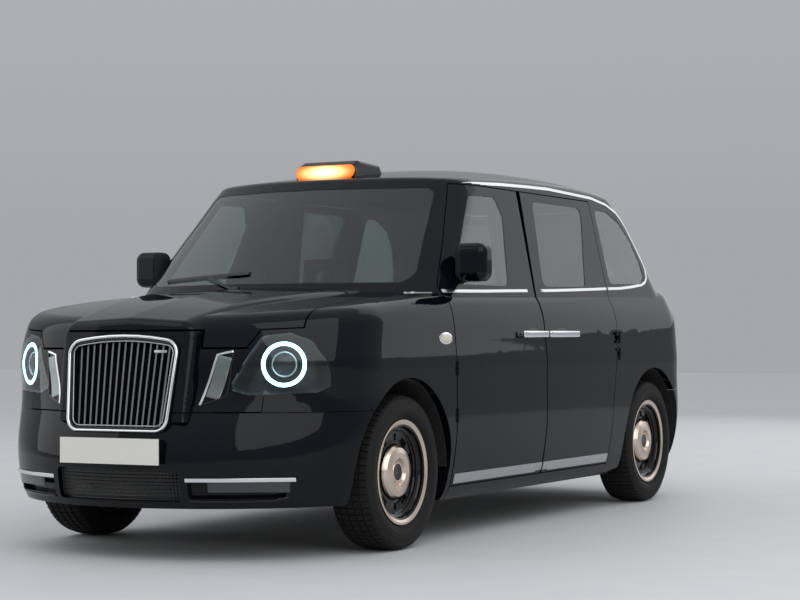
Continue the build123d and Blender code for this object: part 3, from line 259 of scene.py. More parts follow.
cabin_plastic = moulded_plastic("grained_polypropylene", "#1d1e20", "#2a2b2e", 0.6, 2.4)
underseal = moulded_plastic("sprayed_underseal", "#141414", "#222120", 0.85, 9.0)
gloss_trim = moulded_plastic("gloss_black_abs", "#08080a", "#0d0d10", 0.18, 3.0)
dress(cabin_plastic, "dashboard", "partition", "steering_wheel", "wipers")
dress(underseal, "underbody", "wheelhouses")


# Running gear: pressed and cast steel in black chassis paint, with rust bloom in the
# castings, and the die-cast power unit in bare aluminium gone dull.
def cast_metal(name, base, bloom, metallic, roughness):
    made = new_material(name)
    place = add(made, "TexCoord")
    sand = add(made, "TexNoise", {"Vector": (place, "Object"), "Scale": 180.0, "Detail": 3.0})
    patch = add(made, "TexNoise", {"Vector": (place, "Object"), "Scale": 14.0, "Detail": 6.0})
    share = add(made, "MapRange", {"Value": (patch, "Fac"), "From Min": 0.5, "From Max": 0.8})
    tone = blend(made, (share, "Result"), base, bloom)
    relief = add(made, "Bump", {"Height": (sand, "Fac"), "Strength": 0.4, "Distance": 0.0008})
    surface(made, {
        "Base Color": (tone, "Result"), "Metallic": metallic, "Roughness": roughness,
        "Normal": (relief, "Normal")})
    return made


chassis_steel = cast_metal("painted_cast_steel", "#1c1c1d", "#3a2a20", 0.0, 0.6)
dress(chassis_steel, "front_subframe", "rear_suspension", "knuckle_left", "knuckle_right")
dress(cast_metal("die_cast_aluminium", "#85878a", "#6d6e70", 1.0, 0.5), "power_units")


# Road wheels: cast aluminium, the lip and the middle disc turned bright and lacquered,
# the dish and its vents enamelled gloss black. Turning marks run round the axle.
FRONT_AXLE_Y, REAR_AXLE_Y, AXLE_Z = -1.440, 1.545, 0.35
CAP_RADIUS, DISC_RADIUS, LIP_RADIUS, FINISH_REACH = 0.038, 0.1235, 0.2145, 0.25
OUTER_FACE_X = 0.838
TURNING_PITCH = 0.0016


def wheel_metal(name, centre_y):
    made = new_material(name)
    place = add(made, "TexCoord")
    centred = add(made, "Mapping", {"Vector": (place, "Object"), "Location": (0, -centre_y, -AXLE_Z)})
    flat = add(made, "VectorMath", {0: (centred, "Vector"), 1: (0, 1, 1)}, operation="MULTIPLY")
    radius = add(made, "VectorMath", {0: (flat, "Vector")}, operation="LENGTH")
    reach = add(made, "MapRange", {"Value": (radius, "Value"), "From Max": FINISH_REACH})
    bright = add(made, "ValToRGB", {"Fac": (reach, "Result")})
    stops = bright.color_ramp
    stops.interpolation = "CONSTANT"
    black, white = (0, 0, 0, 1), (1, 1, 1, 1)
    stops.elements[0].color = black
    stops.elements[1].position = CAP_RADIUS / FINISH_REACH
    stops.elements[1].color = white
    stops.elements.new(DISC_RADIUS / FINISH_REACH).color = black
    stops.elements.new(LIP_RADIUS / FINISH_REACH).color = white
    side = add(made, "SeparateXYZ", {"Vector": (place, "Object")})
    out = add(made, "Math", {0: (side, "X")}, operation="ABSOLUTE")
    outer = add(made, "Math", {0: (out, "Value"), 1: OUTER_FACE_X}, operation="GREATER_THAN")
    turned = add(made, "Math", {0: (bright, "Color"), 1: (outer, "Value")}, operation="MULTIPLY")
    tone = blend(made, (turned, "Value"), "#0d0d0f", "#dccbbb")
    marks = add(made, "Math", {0: (radius, "Value"), 1: 2 * pi / TURNING_PITCH}, operation="MULTIPLY")
    grooves = add(made, "Math", {0: (marks, "Value")}, operation="SINE")
    cut = add(made, "Math", {0: (grooves, "Value"), 1: (turned, "Value")}, operation="MULTIPLY")
    relief = add(made, "Bump", {"Height": (cut, "Value"), "Strength": 0.08, "Distance": 0.0004})
    shine = add(made, "Mix", {"Factor": (turned, "Value"), "A": 0.12, "B": 0.24}, data_type="FLOAT")
    surface(made, {
        "Base Color": (tone, "Result"), "Metallic": (turned, "Value"), "Roughness": (shine, "Result"),
        "Specular IOR Level": 0.2, "Coat Weight": 0.3, "Coat Roughness": 0.05,
        "Normal": (relief, "Normal")})
    return made


front_alloy = wheel_metal("turned_alloy_front", FRONT_AXLE_Y)
rear_alloy = wheel_metal("turned_alloy_rear", REAR_AXLE_Y)
dress(front_alloy, "front_wheel_left", "front_wheel_right")
dress(rear_alloy, "rear_wheel_left", "rear_wheel_right")


# Tyres: moulded carbon-black rubber. The carcass is turned from its section, with rim
# ribs on the walls, and the tread is a ring of moulded blocks, vulcanised in one piece.
MIRROR = Matrix.Scale(-1, 4, (1, 0, 0))


def make_active(piece):
    clear_selection()
    piece.select_set(True)
    bpy.context.view_layer.objects.active = piece


def shape_by(piece, kind, **settings):
    """Applies one modifier of a kind, with its settings, to a piece."""
    make_active(piece)
    modifier = piece.modifiers.new(kind.lower(), kind)
    for name, value in settings.items():
        setattr(modifier, name, value)
    bpy.ops.object.modifier_apply(modifier=modifier.name)


def join_to(piece, *others):
    make_active(piece)
    for other in others:
        other.select_set(True)
    bpy.ops.object.join()


def settle(piece, name, finish, body, slot_name):
    """Applies a piece's place, names it, finishes it and hangs it on its body."""
    make_active(piece)
    bpy.ops.object.transform_apply(location=True, rotation=True, scale=True)
    piece.name = name
    piece.data.name = name
    piece.data.materials.clear()
    piece.data.materials.append(finish)
    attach(piece, body)


def copy_of(piece, name, matrix, body, slot_name):
    """A second piece with its own mesh, moved or mirrored by a matrix."""
    twin = piece.copy()
    twin.data = piece.data.copy()
    bpy.context.scene.collection.objects.link(twin)
    twin.data.transform(matrix)
    if matrix.determinant() < 0:
        twin.data.flip_normals()
    twin.name = name
    twin.data.name = name
    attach(twin, body)
    return twin


def settle_pair(piece, name, finish, body, slot_name):
    """Settles a left piece, and its mirror twin on the right; both may ride the main body."""
    sides = ("", "") if body == "body" else ("_left", "_right")
    settle(piece, name + "_left", finish, body + sides[0], slot_name)
    copy_of(piece, name + "_right", MIRROR, body + sides[1], slot_name)


def turned_ring(rows, steps):
    """Shape turned about the X axis; rows are (along the axle, radius)."""
    clear_selection()
    bpy.ops.mesh.primitive_plane_add(size=0.01)
    bpy.ops.object.mode_set(mode="EDIT")
    bpy.ops.mesh.merge(type="CENTER")
    bpy.ops.transform.translate(value=(rows[0][0], 0, rows[0][1]))
    for (x0, r0), (x1, r1) in zip(rows, rows[1:]):
        bpy.ops.mesh.extrude_region_move(TRANSFORM_OT_translate={"value": (x1 - x0, 0, r1 - r0)})
    bpy.ops.mesh.select_all(action="SELECT")
    bpy.ops.mesh.spin(steps=steps, angle=2 * pi, center=(0, 0, 0), axis=(1, 0, 0))
    bpy.ops.mesh.select_all(action="SELECT")
    bpy.ops.mesh.remove_doubles(threshold=0.00002)
    bpy.ops.mesh.normals_make_consistent(inside=False)
    bpy.ops.object.mode_set(mode="OBJECT")
    bpy.ops.object.shade_smooth_by_angle(angle=radians(28))
    return bpy.context.object


TRACK_HALF = 0.805
WHEELS = [("front_wheel_left", "front_tyre_left", 1, FRONT_AXLE_Y),
          ("front_wheel_right", "front_tyre_right", -1, FRONT_AXLE_Y),
          ("rear_wheel_left", "rear_tyre_left", 1, REAR_AXLE_Y),
          ("rear_wheel_right", "rear_tyre_right", -1, REAR_AXLE_Y)]
rubber = new_material("moulded_tyre_rubber")
rubber_place = add(rubber, "TexCoord")
rubber_dust = add(rubber, "TexNoise", {"Vector": (rubber_place, "Object"), "Scale": 30.0, "Detail": 6.0})
rubber_tone = blend(rubber, (rubber_dust, "Fac"), "#0c0c0d", "#191919")
rubber_pores = add(rubber, "TexNoise", {"Vector": (rubber_place, "Object"), "Scale": 700.0})
rubber_relief = add(rubber, "Bump", {"Height": (rubber_pores, "Fac"), "Strength": 0.12, "Distance": 0.0005})
surface(rubber, {
    "Base Color": (rubber_tone, "Result"), "Roughness": 0.72, "Specular IOR Level": 0.3,
    "Normal": (rubber_relief, "Normal")})
BEAD_X, BEAD_RADIUS = 0.062, 0.226
wall = [(0.066, 0.2162), (0.0856, 0.2164), (0.0858, 0.240), (0.0925, 0.2475), (0.0935, 0.2515),
        (0.0975, 0.2535), (0.104, 0.262), (0.1066, 0.277), (0.1073, 0.2785), (0.1073, 0.2815),
        (0.1066, 0.283), (0.1073, 0.290), (0.1066, 0.300), (0.1058, 0.3015), (0.1042, 0.304),
        (0.1050, 0.3055), (0.1005, 0.322), (0.096, 0.331), (0.090, 0.3345), (0.086, 0.3335),
        (0.060, 0.3415), (0.020, 0.3428)]
section = wall + [(-x, r) for x, r in wall[::-1]] + [(-BEAD_X, BEAD_RADIUS), (BEAD_X, BEAD_RADIUS), wall[0]]
tyre_pattern = turned_ring(section, 96)
TREAD_PITCHES = 68
BLOCK_LENGTH, BLOCK_DEPTH, BLOCK_EDGE = 0.0255, 0.0070, 0.0014
SHOULDER_SLOPE = radians(14)
TREAD_RIBS = ((0.0, 0.030, 0.3462, 0, 0), (0.0365, 0.030, 0.3457, 8, 0), (-0.0365, 0.030, 0.3457, -8, 0),
              (0.0755, 0.034, 0.3405, 0, 1), (-0.0755, 0.034, 0.3405, 0, -1))
blocks = []
for centre_x, width, height, tilt, shoulder in TREAD_RIBS:
    clear_selection()
    bpy.ops.mesh.primitive_cube_add(size=1, location=(centre_x, 0, height),
                                    scale=(width, BLOCK_LENGTH, BLOCK_DEPTH),
                                    rotation=(0, SHOULDER_SLOPE * shoulder, radians(tilt)))
    block = bpy.context.object
    shape_by(block, "BEVEL", width=BLOCK_EDGE, segments=1)
    bpy.ops.object.transform_apply(location=True, rotation=True, scale=True)
    blocks.append(block)
join_to(*blocks)
bpy.ops.object.empty_add(rotation=(2 * pi / TREAD_PITCHES, 0, 0))
pitch_turn = bpy.context.object
shape_by(blocks[0], "ARRAY", count=TREAD_PITCHES, use_relative_offset=False, use_object_offset=True,
         offset_object=pitch_turn)
bpy.data.objects.remove(pitch_turn)
join_to(tyre_pattern, blocks[0])
for wheel, tyre, way, axle_y in WHEELS:
    made = copy_of(tyre_pattern, "treaded_" + tyre, Matrix.Translation((TRACK_HALF * way, axle_y, AXLE_Z)),
                   wheel, "rubber_tyre")
    made.data.materials.clear()
    made.data.materials.append(rubber)
    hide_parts(tyre)
bpy.data.objects.remove(tyre_pattern)


# Bright trim: stainless strip and chromed ABS. The window surround is one rolled strip cut
# at the shut lines, so each length opens with its own door.
def bright_metal(name, colour, roughness, brushed_mm):
    made = new_material(name)
    place = add(made, "TexCoord")
    stretch = add(made, "Mapping", {"Vector": (place, "Object"), "Scale": (1.0, 0.04, 1.0)})
    lines = add(made, "TexNoise", {
        "Vector": (stretch, "Vector"), "Scale": 1000.0 / brushed_mm, "Detail": 2.0})
    haze = add(made, "TexNoise", {"Vector": (place, "Object"), "Scale": 6.0, "Detail": 4.0})
    shine = add(made, "MapRange", {"Value": (haze, "Fac"), "To Min": roughness, "To Max": roughness + 0.12})
    relief = add(made, "Bump", {"Height": (lines, "Fac"), "Strength": 0.05, "Distance": 0.0003})
    surface(made, {
        "Base Color": linear(colour), "Metallic": 1.0, "Roughness": (shine, "Result"),
        "Normal": (relief, "Normal")})
    return made


def press_on(piece, target, axis):
    """Presses a piece along an axis on to the skin of a CAD piece."""
    shape_by(piece, "SHRINKWRAP", wrap_method="PROJECT", target=part[target],
             use_project_x=axis == "x", use_project_y=axis == "y",
             use_negative_direction=True, use_positive_direction=True)


PRESS_FROM = {"left": ("x", 1.1), "front": ("y", -2.7)}
STRIP_SEAT = 0.002


def strip_on(target, stations, width, proud, side):
    """Strip pressed on to a CAD piece from the left, along (y, z), or the front, along (x, z)."""
    axis, start = PRESS_FROM[side]
    clear_selection()
    steps = len(stations) - 1
    bpy.ops.mesh.primitive_grid_add(x_subdivisions=steps, y_subdivisions=2, size=1)
    strip = bpy.context.object
    path = [Vector(s) for s in stations]
    for v in strip.data.vertices:
        at = round((v.co.x + 0.5) * steps)
        row = v.co.y * 2
        before, after = path[max(at - 1, 0)], path[min(at + 1, steps)]
        run = (after - before).normalized()
        flat = path[at] + Vector((-run.y, run.x)) * row * width / 2
        v.co = (start, flat.x, flat.y) if axis == "x" else (flat.x, start, flat.y)
    bpy.ops.object.mode_set(mode="EDIT")
    bpy.ops.mesh.select_all(action="SELECT")
    bpy.ops.mesh.subdivide(number_cuts=3)
    bpy.ops.object.mode_set(mode="OBJECT")
    press_on(strip, target, axis)
    bm = bmesh.new()
    bm.from_mesh(strip.data)
    missed = [v for v in bm.verts if abs(getattr(v.co, axis) - start) < 1e-6]
    bmesh.ops.delete(bm, geom=missed, context="VERTS")
    bmesh.ops.recalc_face_normals(bm, faces=bm.faces)
    if sum(getattr(f.normal, axis) * start for f in bm.faces) < 0:
        bmesh.ops.reverse_faces(bm, faces=bm.faces)
    bm.to_mesh(strip.data)
    bm.free()
    thickness = proud + STRIP_SEAT
    shape_by(strip, "SOLIDIFY", thickness=thickness, offset=proud / thickness * 2 - 1)
    shape_by(strip, "BEVEL", width=min(proud, width) * 0.35, segments=2, limit_method="ANGLE")
    bpy.ops.object.shade_smooth_by_angle(angle=radians(35))
    return strip


stainless = bright_metal("rolled_stainless", "#dfe1e3", 0.12, 0.9)
chrome = bright_metal("chromed_abs", "#eceef0", 0.04, 3.0)
satin = bright_metal("satin_aluminium", "#b9bbbd", 0.3, 0.8)
SURROUND = [
    ("front_wings", "body", [(-1.316, 1.168), (-1.20, 1.169), (-1.09, 1.171), (-0.985, 1.173)]),
    ("front_door", "front_door",
     [(-0.965, 1.174), (-0.80, 1.176), (-0.55, 1.180), (-0.30, 1.186), (0.036, 1.193)]),
    ("rear_door", "rear_door",
     [(0.054, 1.193), (0.30, 1.199), (0.60, 1.208), (0.85, 1.216), (1.010, 1.222)]),
    ("body_sides", "body",
     [(1.030, 1.222), (1.222, 1.228), (1.40, 1.240), (1.559, 1.255), (1.625, 1.272), (1.662, 1.300),
      (1.675, 1.341), (1.665, 1.380), (1.642, 1.417), (1.584, 1.503), (1.516, 1.595), (1.465, 1.640),
      (1.408, 1.671), (1.282, 1.711), (1.079, 1.737), (0.817, 1.744), (0.503, 1.752), (0.20, 1.746),
      (-0.092, 1.738), (-0.42, 1.722), (-0.66, 1.700), (-0.74, 1.640), (-0.86, 1.500), (-0.98, 1.360),
      (-1.08, 1.245)])]
for target, body, line in SURROUND:
    left_node = target if target in part else target + "_left"
    strip = strip_on(left_node, line, 0.016, 0.004, "left")
    settle_pair(strip, "window_strip_" + target, stainless, body, "trim_plastic")
SILL_Z = 0.290
for door, stations in (("front_door", (-0.955, -0.60, -0.25, 0.036)),
                       ("rear_door", (0.054, 0.30, 0.60, 0.905))):
    sill = strip_on(door + "_left", [(y, SILL_Z) for y in stations], 0.046, 0.006, "left")
    settle_pair(sill, "sill_strip_" + door, satin, door, "trim_plastic")


# Radiator grille: pressed steel bars with bright front edges behind a chromed ring, one bent
# tube that follows the arched opening on its leaning plane. A woven black mesh fills the
# intake below.
GRILLE_LEAN, GRILLE_SHOULDER_Y = 0.15, 2.300
GRILLE_SHOULDER_Z, GRILLE_ARCH, GRILLE_FOOT_Z = 0.946, 0.030, 0.552
SHOULDER_HALF, FOOT_HALF = 0.296, 0.266
RING_CORNER = 0.062
UPRIGHT_RUN, UPRIGHT_X, CORNER_X = 0.2, 0.23, 0.25
BARS_ABOVE_Z = 0.53
grille_bars = new_material("bright_edged_bars")
bar_place = add(grille_bars, "TexCoord")
bar_parts = add(grille_bars, "SeparateXYZ", {"Vector": (bar_place, "Object")})
bar_drop = add(grille_bars, "Math", {
    0: (bar_parts, "Z"), 1: -GRILLE_LEAN, 2: GRILLE_SHOULDER_Y + GRILLE_SHOULDER_Z * GRILLE_LEAN},
    operation="MULTIPLY_ADD")
bar_depth = add(grille_bars, "Math", {0: (bar_parts, "Y"), 1: (bar_drop, "Value")}, operation="ADD")
bar_front = add(grille_bars, "Math", {0: (bar_depth, "Value"), 1: 0.0, 2: 0.004}, operation="COMPARE")
bar_normal = add(grille_bars, "SeparateXYZ", {"Vector": (bar_place, "Normal")})
bar_faces = add(grille_bars, "Math", {0: (bar_normal, "Y"), 1: -0.6}, operation="LESS_THAN")
bar_height = add(grille_bars, "Math", {0: (bar_parts, "Z"), 1: BARS_ABOVE_Z}, operation="GREATER_THAN")
bar_upper = add(grille_bars, "Math", {
    0: (bar_front, "Value"), 1: (bar_height, "Value")}, operation="MULTIPLY")
bar_bright = add(grille_bars, "Math", {
    0: (bar_upper, "Value"), 1: (bar_faces, "Value")}, operation="MULTIPLY")
bar_smear = add(grille_bars, "TexNoise", {"Vector": (bar_place, "Object"), "Scale": 40.0, "Detail": 3.0})
bar_shine = add(grille_bars, "MapRange", {"Value": (bar_smear, "Fac"), "To Min": 0.34, "To Max": 0.5})
bar_tone = blend(grille_bars, (bar_bright, "Value"), "#060708", "#77797d")
surface(grille_bars, {
    "Base Color": (bar_tone, "Result"), "Metallic": (bar_bright, "Value"),
    "Roughness": (bar_shine, "Result")})
dress(grille_bars, "grilles")


def grille_ring(inset, tube, forward):
    """Tube bent round the arched grille opening, inset from its edge and stood forward."""
    clear_selection()
    bpy.ops.mesh.primitive_grid_add(x_subdivisions=8, y_subdivisions=1, size=1)
    ring = bpy.context.object
    for v in ring.data.vertices:
        high = v.co.y > 0
        x = v.co.x * 2 * ((SHOULDER_HALF if high else FOOT_HALF) - inset)
        arch = GRILLE_ARCH * (1 - (x / SHOULDER_HALF) ** 2)
        z = GRILLE_SHOULDER_Z + arch - inset if high else GRILLE_FOOT_Z + inset
        v.co = (x, -GRILLE_SHOULDER_Y - (GRILLE_SHOULDER_Z - z) * GRILLE_LEAN - forward, z)
    bpy.ops.object.mode_set(mode="EDIT")
    bpy.ops.mesh.select_all(action="SELECT")
    bpy.ops.mesh.delete(type="ONLY_FACE")
    bm = bmesh.from_edit_mesh(ring.data)
    inner = [e for e in bm.edges if abs(e.verts[0].co.z - e.verts[1].co.z) > UPRIGHT_RUN
             and min(abs(v.co.x) for v in e.verts) < UPRIGHT_X]
    bmesh.ops.delete(bm, geom=inner, context="EDGES")
    for v in bm.verts:
        v.select_set(len(v.link_edges) == 2 and abs(v.co.x) > CORNER_X - inset)
    bmesh.update_edit_mesh(ring.data)
    bpy.ops.mesh.bevel(offset=RING_CORNER - inset, segments=8, affect="VERTICES")
    bpy.ops.object.mode_set(mode="OBJECT")
    bpy.ops.object.convert(target="CURVE")
    ring.data.bevel_depth = tube
    ring.data.bevel_resolution = 3
    bpy.ops.object.convert(target="MESH")
    bpy.ops.object.shade_smooth()
    return bpy.context.object


settle(grille_ring(0.008, 0.0072, 0.018), "grille_surround", chrome, "body", "trim_plastic")
settle(grille_ring(0.030, 0.0028, 0.014), "grille_inner_bead", satin, "body", "trim_plastic")

INTAKE_WIDTH, INTAKE_HEIGHT, INTAKE_Z = 0.622, 0.122, 0.330
clear_selection()
bpy.ops.mesh.primitive_grid_add(x_subdivisions=44, y_subdivisions=8, size=1)
mesh = bpy.context.object
for v in mesh.data.vertices:
    v.co = (v.co.x * INTAKE_WIDTH, -2.45, INTAKE_Z + v.co.y * INTAKE_HEIGHT)
press_on(mesh, "grilles", "y")
shape_by(mesh, "WIREFRAME", thickness=0.0045)
settle(mesh, "intake_mesh", gloss_trim, "body", "trim_plastic")


# Headlamps: moulded bowl in metallised black polycarbonate, a light guide ring that glows
# cool white, and a projector with a ground glass lens in a chromed bezel.
def glow(name, colour, strength, body_colour):
    made = new_material(name)
    place = add(made, "TexCoord")
    ripple = add(made, "TexNoise", {"Vector": (place, "Object"), "Scale": 120.0, "Detail": 2.0})
    uneven = add(made, "MapRange", {
        "Value": (ripple, "Fac"), "To Min": strength * 0.85, "To Max": strength * 1.1})
    surface(made, {
        "Base Color": linear(body_colour), "Roughness": 0.25, "Emission Color": linear(colour),
        "Emission Strength": (uneven, "Result")})
    return made


bowl_black = moulded_plastic("metallised_bowl", "#0a0d0f", "#14191b", 0.24, 5.0)
dress(bowl_black, "headlamps")
cool_glow = glow("daylight_guide", "#8fdcff", 16.0, "#dff8ff")
ground_glass = window_glass("ground_projector_glass", "#c5dce4", "#b5ccd4")
LAMP_TURN = radians(28)
lamp_facing = Vector((sin(LAMP_TURN), -cos(LAMP_TURN), 0))
lamp_centre = Vector((0.673, -2.085, 0.843))
DAYLIGHT_RADIUS, BEHIND_COVER = 0.088, 0.0100


def lamp_ring(radius, tube, forward, flatten=1.0):
    clear_selection()
    bpy.ops.mesh.primitive_torus_add(major_segments=72, minor_segments=12, major_radius=radius,
                                     minor_radius=tube, location=lamp_centre + lamp_facing * forward,
                                     rotation=(radians(90), 0, LAMP_TURN))
    made = bpy.context.object
    made.scale.z = flatten
    bpy.ops.object.shade_smooth()
    return made


daylight = lamp_ring(DAYLIGHT_RADIUS, 0.0078, 0.0, 0.45)
bpy.ops.object.transform_apply(location=True, rotation=True, scale=True)
cover = part["headlamp_lenses"]
into_cover = cover.matrix_world.inverted()
for v in daylight.data.vertices:
    spoke = v.co - lamp_centre
    spoke = lamp_centre + (spoke - lamp_facing * spoke.dot(lamp_facing)).normalized() * DAYLIGHT_RADIUS
    found, skin, _, _ = cover.ray_cast(into_cover @ (spoke + lamp_facing * 0.3),
                                       into_cover.to_3x3() @ -lamp_facing)
    if found:
        v.co += lamp_facing * ((cover.matrix_world @ skin - spoke).dot(lamp_facing) - BEHIND_COVER)
settle_pair(daylight, "daylight_ring", cool_glow, "body", "clear_lens")
settle_pair(lamp_ring(0.052, 0.006, 0.000), "projector_bezel", chrome, "body", "lamp_bowl")
settle_pair(lamp_ring(0.072, 0.004, 0.004, 0.5), "bowl_step", bowl_black, "body", "lamp_bowl")
clear_selection()
bpy.ops.mesh.primitive_uv_sphere_add(segments=48, ring_count=24, radius=0.047,
                                     location=lamp_centre - lamp_facing * 0.004,
                                     rotation=(radians(90), 0, LAMP_TURN), scale=(1, 1, 0.5))
bpy.ops.object.shade_smooth()
settle_pair(bpy.context.object, "projector_lens", ground_glass, "body", "clear_lens")


# Nose blades: a slanted dark vent each side of the cowl, edged with a chromed bead, and the
# bright strips that top the corner intakes of the bumper. A smoked lens hangs below each
# strip, set out from the bumper's rounded corner.
BLADE = [(0.372, 0.670), (0.392, 0.745), (0.414, 0.820), (0.432, 0.885), (0.463, 0.893), (0.495, 0.899),
         (0.489, 0.835), (0.483, 0.770), (0.474, 0.707), (0.424, 0.687), (0.372, 0.670)]
BLADE_FACE = [(0.418, 0.700), (0.435, 0.760), (0.450, 0.820), (0.464, 0.878)]
STRIP_Z = 0.357
BUMPER_STRIP = [(0.345, STRIP_Z), (0.45, STRIP_Z), (0.56, STRIP_Z), (0.66, STRIP_Z), (0.742, 0.356)]
BUMPER_LIP = [(0.355, 0.268), (0.45, 0.266), (0.56, 0.266), (0.66, 0.268), (0.71, 0.282)]
CORNER_LENS = [(0.435, STRIP_Z), (0.52, STRIP_Z), (0.62, STRIP_Z), (0.725, 0.356)]
dark_chrome = bright_metal("dark_chrome", "#8f9694", 0.1, 3.0)
for name, line, width, proud, target, finish in (
        ("blade_bead", BLADE[:6], 0.009, 0.006, "nose_panel", chrome),
        ("blade_foot", BLADE[5:], 0.007, 0.004, "nose_panel", gloss_trim),
        ("blade_face", BLADE_FACE, 0.058, 0.0035, "nose_panel", dark_chrome),
        ("bumper_blade", BUMPER_STRIP, 0.017, 0.010, "front_bumper", stainless),
        ("bumper_lip", BUMPER_LIP, 0.008, 0.005, "front_bumper", gloss_trim)):
    settle_pair(strip_on(target, line, width, proud, "front"), name, finish, "body", "trim_plastic")

corner_lens = glow("smoked_corner_lens", "#cfd6da", 0.02, "#2c2f31")
panel = strip_on("front_bumper", CORNER_LENS, 0.017, 0.004, "front")
LENS_DROP, LENS_STRETCH, LENS_LEAN = 0.027, 2.0, 0.18
CORNER_TURN = 0.955
for v in panel.data.vertices:
    drop = LENS_DROP - (v.co.z - STRIP_Z) * LENS_STRETCH
    turn = CORNER_TURN * v.co.x
    v.co += Vector((-turn * LENS_LEAN, (1 - turn ** 2) ** 0.5 * LENS_LEAN, -1)) * drop
settle_pair(panel, "corner_lamp", corner_lens, "body", "clear_lens")


# Number plates: blank retroreflective sheet in acrylic, pale at the front and yellow at the
# back, each held by two capped screws. The rear one stands on a moulded plinth.
def plate_sheet(name, colour, speck):
    made = new_material(name)
    place = add(made, "TexCoord")
    beads = add(made, "TexVoronoi", {"Vector": (place, "Object"), "Scale": 300.0})
    tone = blend(made, (beads, "Distance"), colour, speck)
    surface(made, {
        "Base Color": (tone, "Result"), "Roughness": 0.28, "Coat Weight": 0.5, "Coat Roughness": 0.08})
    return made


def rounded_block(place, size, rounding, segments, turn=(0, 0, 0)):
    """Cube primitive at a place with its edges rounded."""
    clear_selection()
    bpy.ops.mesh.primitive_cube_add(size=1, location=place, scale=size, rotation=turn)
    made = bpy.context.object
    bpy.ops.object.transform_apply(location=False, rotation=False, scale=True)
    shape_by(made, "BEVEL", width=rounding, segments=segments)
    bpy.ops.object.shade_smooth_by_angle(angle=radians(40))
    return made


front_sheet = plate_sheet("pale_plate_sheet", "#e8e6de", "#d4d2ca")
rear_sheet = plate_sheet("yellow_plate_sheet", "#e2b21c", "#c99a12")
dress(front_sheet, "front_plate")
FRONT_PLATE_Z, REAR_PLATE_Z, SCREW_X = 0.476, 0.800, 0.205
settle(rounded_block((0, 2.392, REAR_PLATE_Z), (0.540, 0.034, 0.128), 0.008, 3),
       "rear_plate_plinth", cabin_plastic, "tailgate", "trim_plastic")
settle(rounded_block((0, 2.411, REAR_PLATE_Z), (0.520, 0.004, 0.111), 0.0018, 2),
       "rear_plate", rear_sheet, "tailgate", "plate_white")
number = 0
for y, z, flatness, finish, body in ((-2.4280, FRONT_PLATE_Z, 0.06, front_sheet, "body"),
                                     (2.4132, REAR_PLATE_Z, 0.12, rear_sheet, "tailgate")):
    for x in (-SCREW_X, SCREW_X):
        number += 1
        clear_selection()
        bpy.ops.mesh.primitive_uv_sphere_add(segments=24, ring_count=12, radius=0.0065, location=(x, y, z),
                                             scale=(1, flatness, 1))
        bpy.ops.object.shade_smooth()
        settle(bpy.context.object, f"plate_screw_{number}", finish, body, "plate_white")


# Roof sign: an opal amber acrylic window, lit from behind, in the front of the black housing.
# It glows yellow in the middle and orange at its ends.
SIGN_Z, SIGN_LEAN, SIGN_STRETCH = 1.797, radians(-14.7), 3.6
amber = new_material("lit_amber_acrylic")
amber_place = add(amber, "TexCoord")
amber_centred = add(amber, "Mapping", {
    "Vector": (amber_place, "Object"), "Location": (0, 0, -SIGN_Z * SIGN_STRETCH),
    "Scale": (1.0, 0.0, SIGN_STRETCH)})
amber_middle = add(amber, "VectorMath", {0: (amber_centred, "Vector")}, operation="LENGTH")
amber_fall = add(amber, "MapRange", {"Value": (amber_middle, "Value"), "From Min": 0.05, "From Max": 0.17})
amber_tone = add(amber, "ValToRGB", {"Fac": (amber_fall, "Result")})
amber_tone.color_ramp.elements[0].color = linear("#ffe9a0")
amber_tone.color_ramp.elements[1].color = linear("#ff6a08")
amber_power = add(amber, "MapRange", {"Value": (amber_fall, "Result"), "To Min": 2.6, "To Max": 1.0})
surface(amber, {
    "Base Color": linear("#c0701c"), "Roughness": 0.3, "Emission Color": (amber_tone, "Color"),
    "Emission Strength": (amber_power, "Result")})


def rounded_plate(place, size, corner, edge, turn=(0, 0, 0)):
    """Upright plate that faces along Y, with rounded corners and a softened rim."""
    clear_selection()
    bpy.ops.mesh.primitive_cube_add(size=1, location=place, scale=size, rotation=turn)
    made = bpy.context.object
    bpy.ops.object.transform_apply(location=False, rotation=False, scale=True)
    bpy.ops.object.mode_set(mode="EDIT")
    bm = bmesh.from_edit_mesh(made.data)
    for bound in bm.edges:
        run = bound.verts[0].co - bound.verts[1].co
        bound.select_set(abs(run.y) > 0.0005 and abs(run.x) < 1e-5 and abs(run.z) < 1e-5)
    bmesh.update_edit_mesh(made.data)
    bpy.ops.mesh.bevel(offset=corner, segments=8)
    bpy.ops.object.mode_set(mode="OBJECT")
    shape_by(made, "BEVEL", width=edge, segments=3, limit_method="ANGLE", angle_limit=radians(50))
    bpy.ops.object.shade_smooth_by_angle(angle=radians(40))
    return made


window = rounded_plate((0, -0.6005, SIGN_Z), (0.344, 0.018, 0.074), 0.035, 0.006, (SIGN_LEAN, 0, 0))
settle(window, "sign_window", amber, "body", "amber_sign")
bezel = rounded_plate((0, -0.5955, SIGN_Z + 0.001), (0.352, 0.014, 0.083), 0.040, 0.003, (SIGN_LEAN, 0, 0))
settle(bezel, "sign_bezel", gloss_trim, "body", "trim_plastic")


# Grille tag: a blank satin plate at the upper corner of the bars, leaning with them.
tag = rounded_block((0.190, -2.3095, 0.900), (0.066, 0.004, 0.012), 0.0015, 2, (radians(-8.53), 0, 0))
settle(tag, "grille_tag", satin, "body", "trim_plastic")


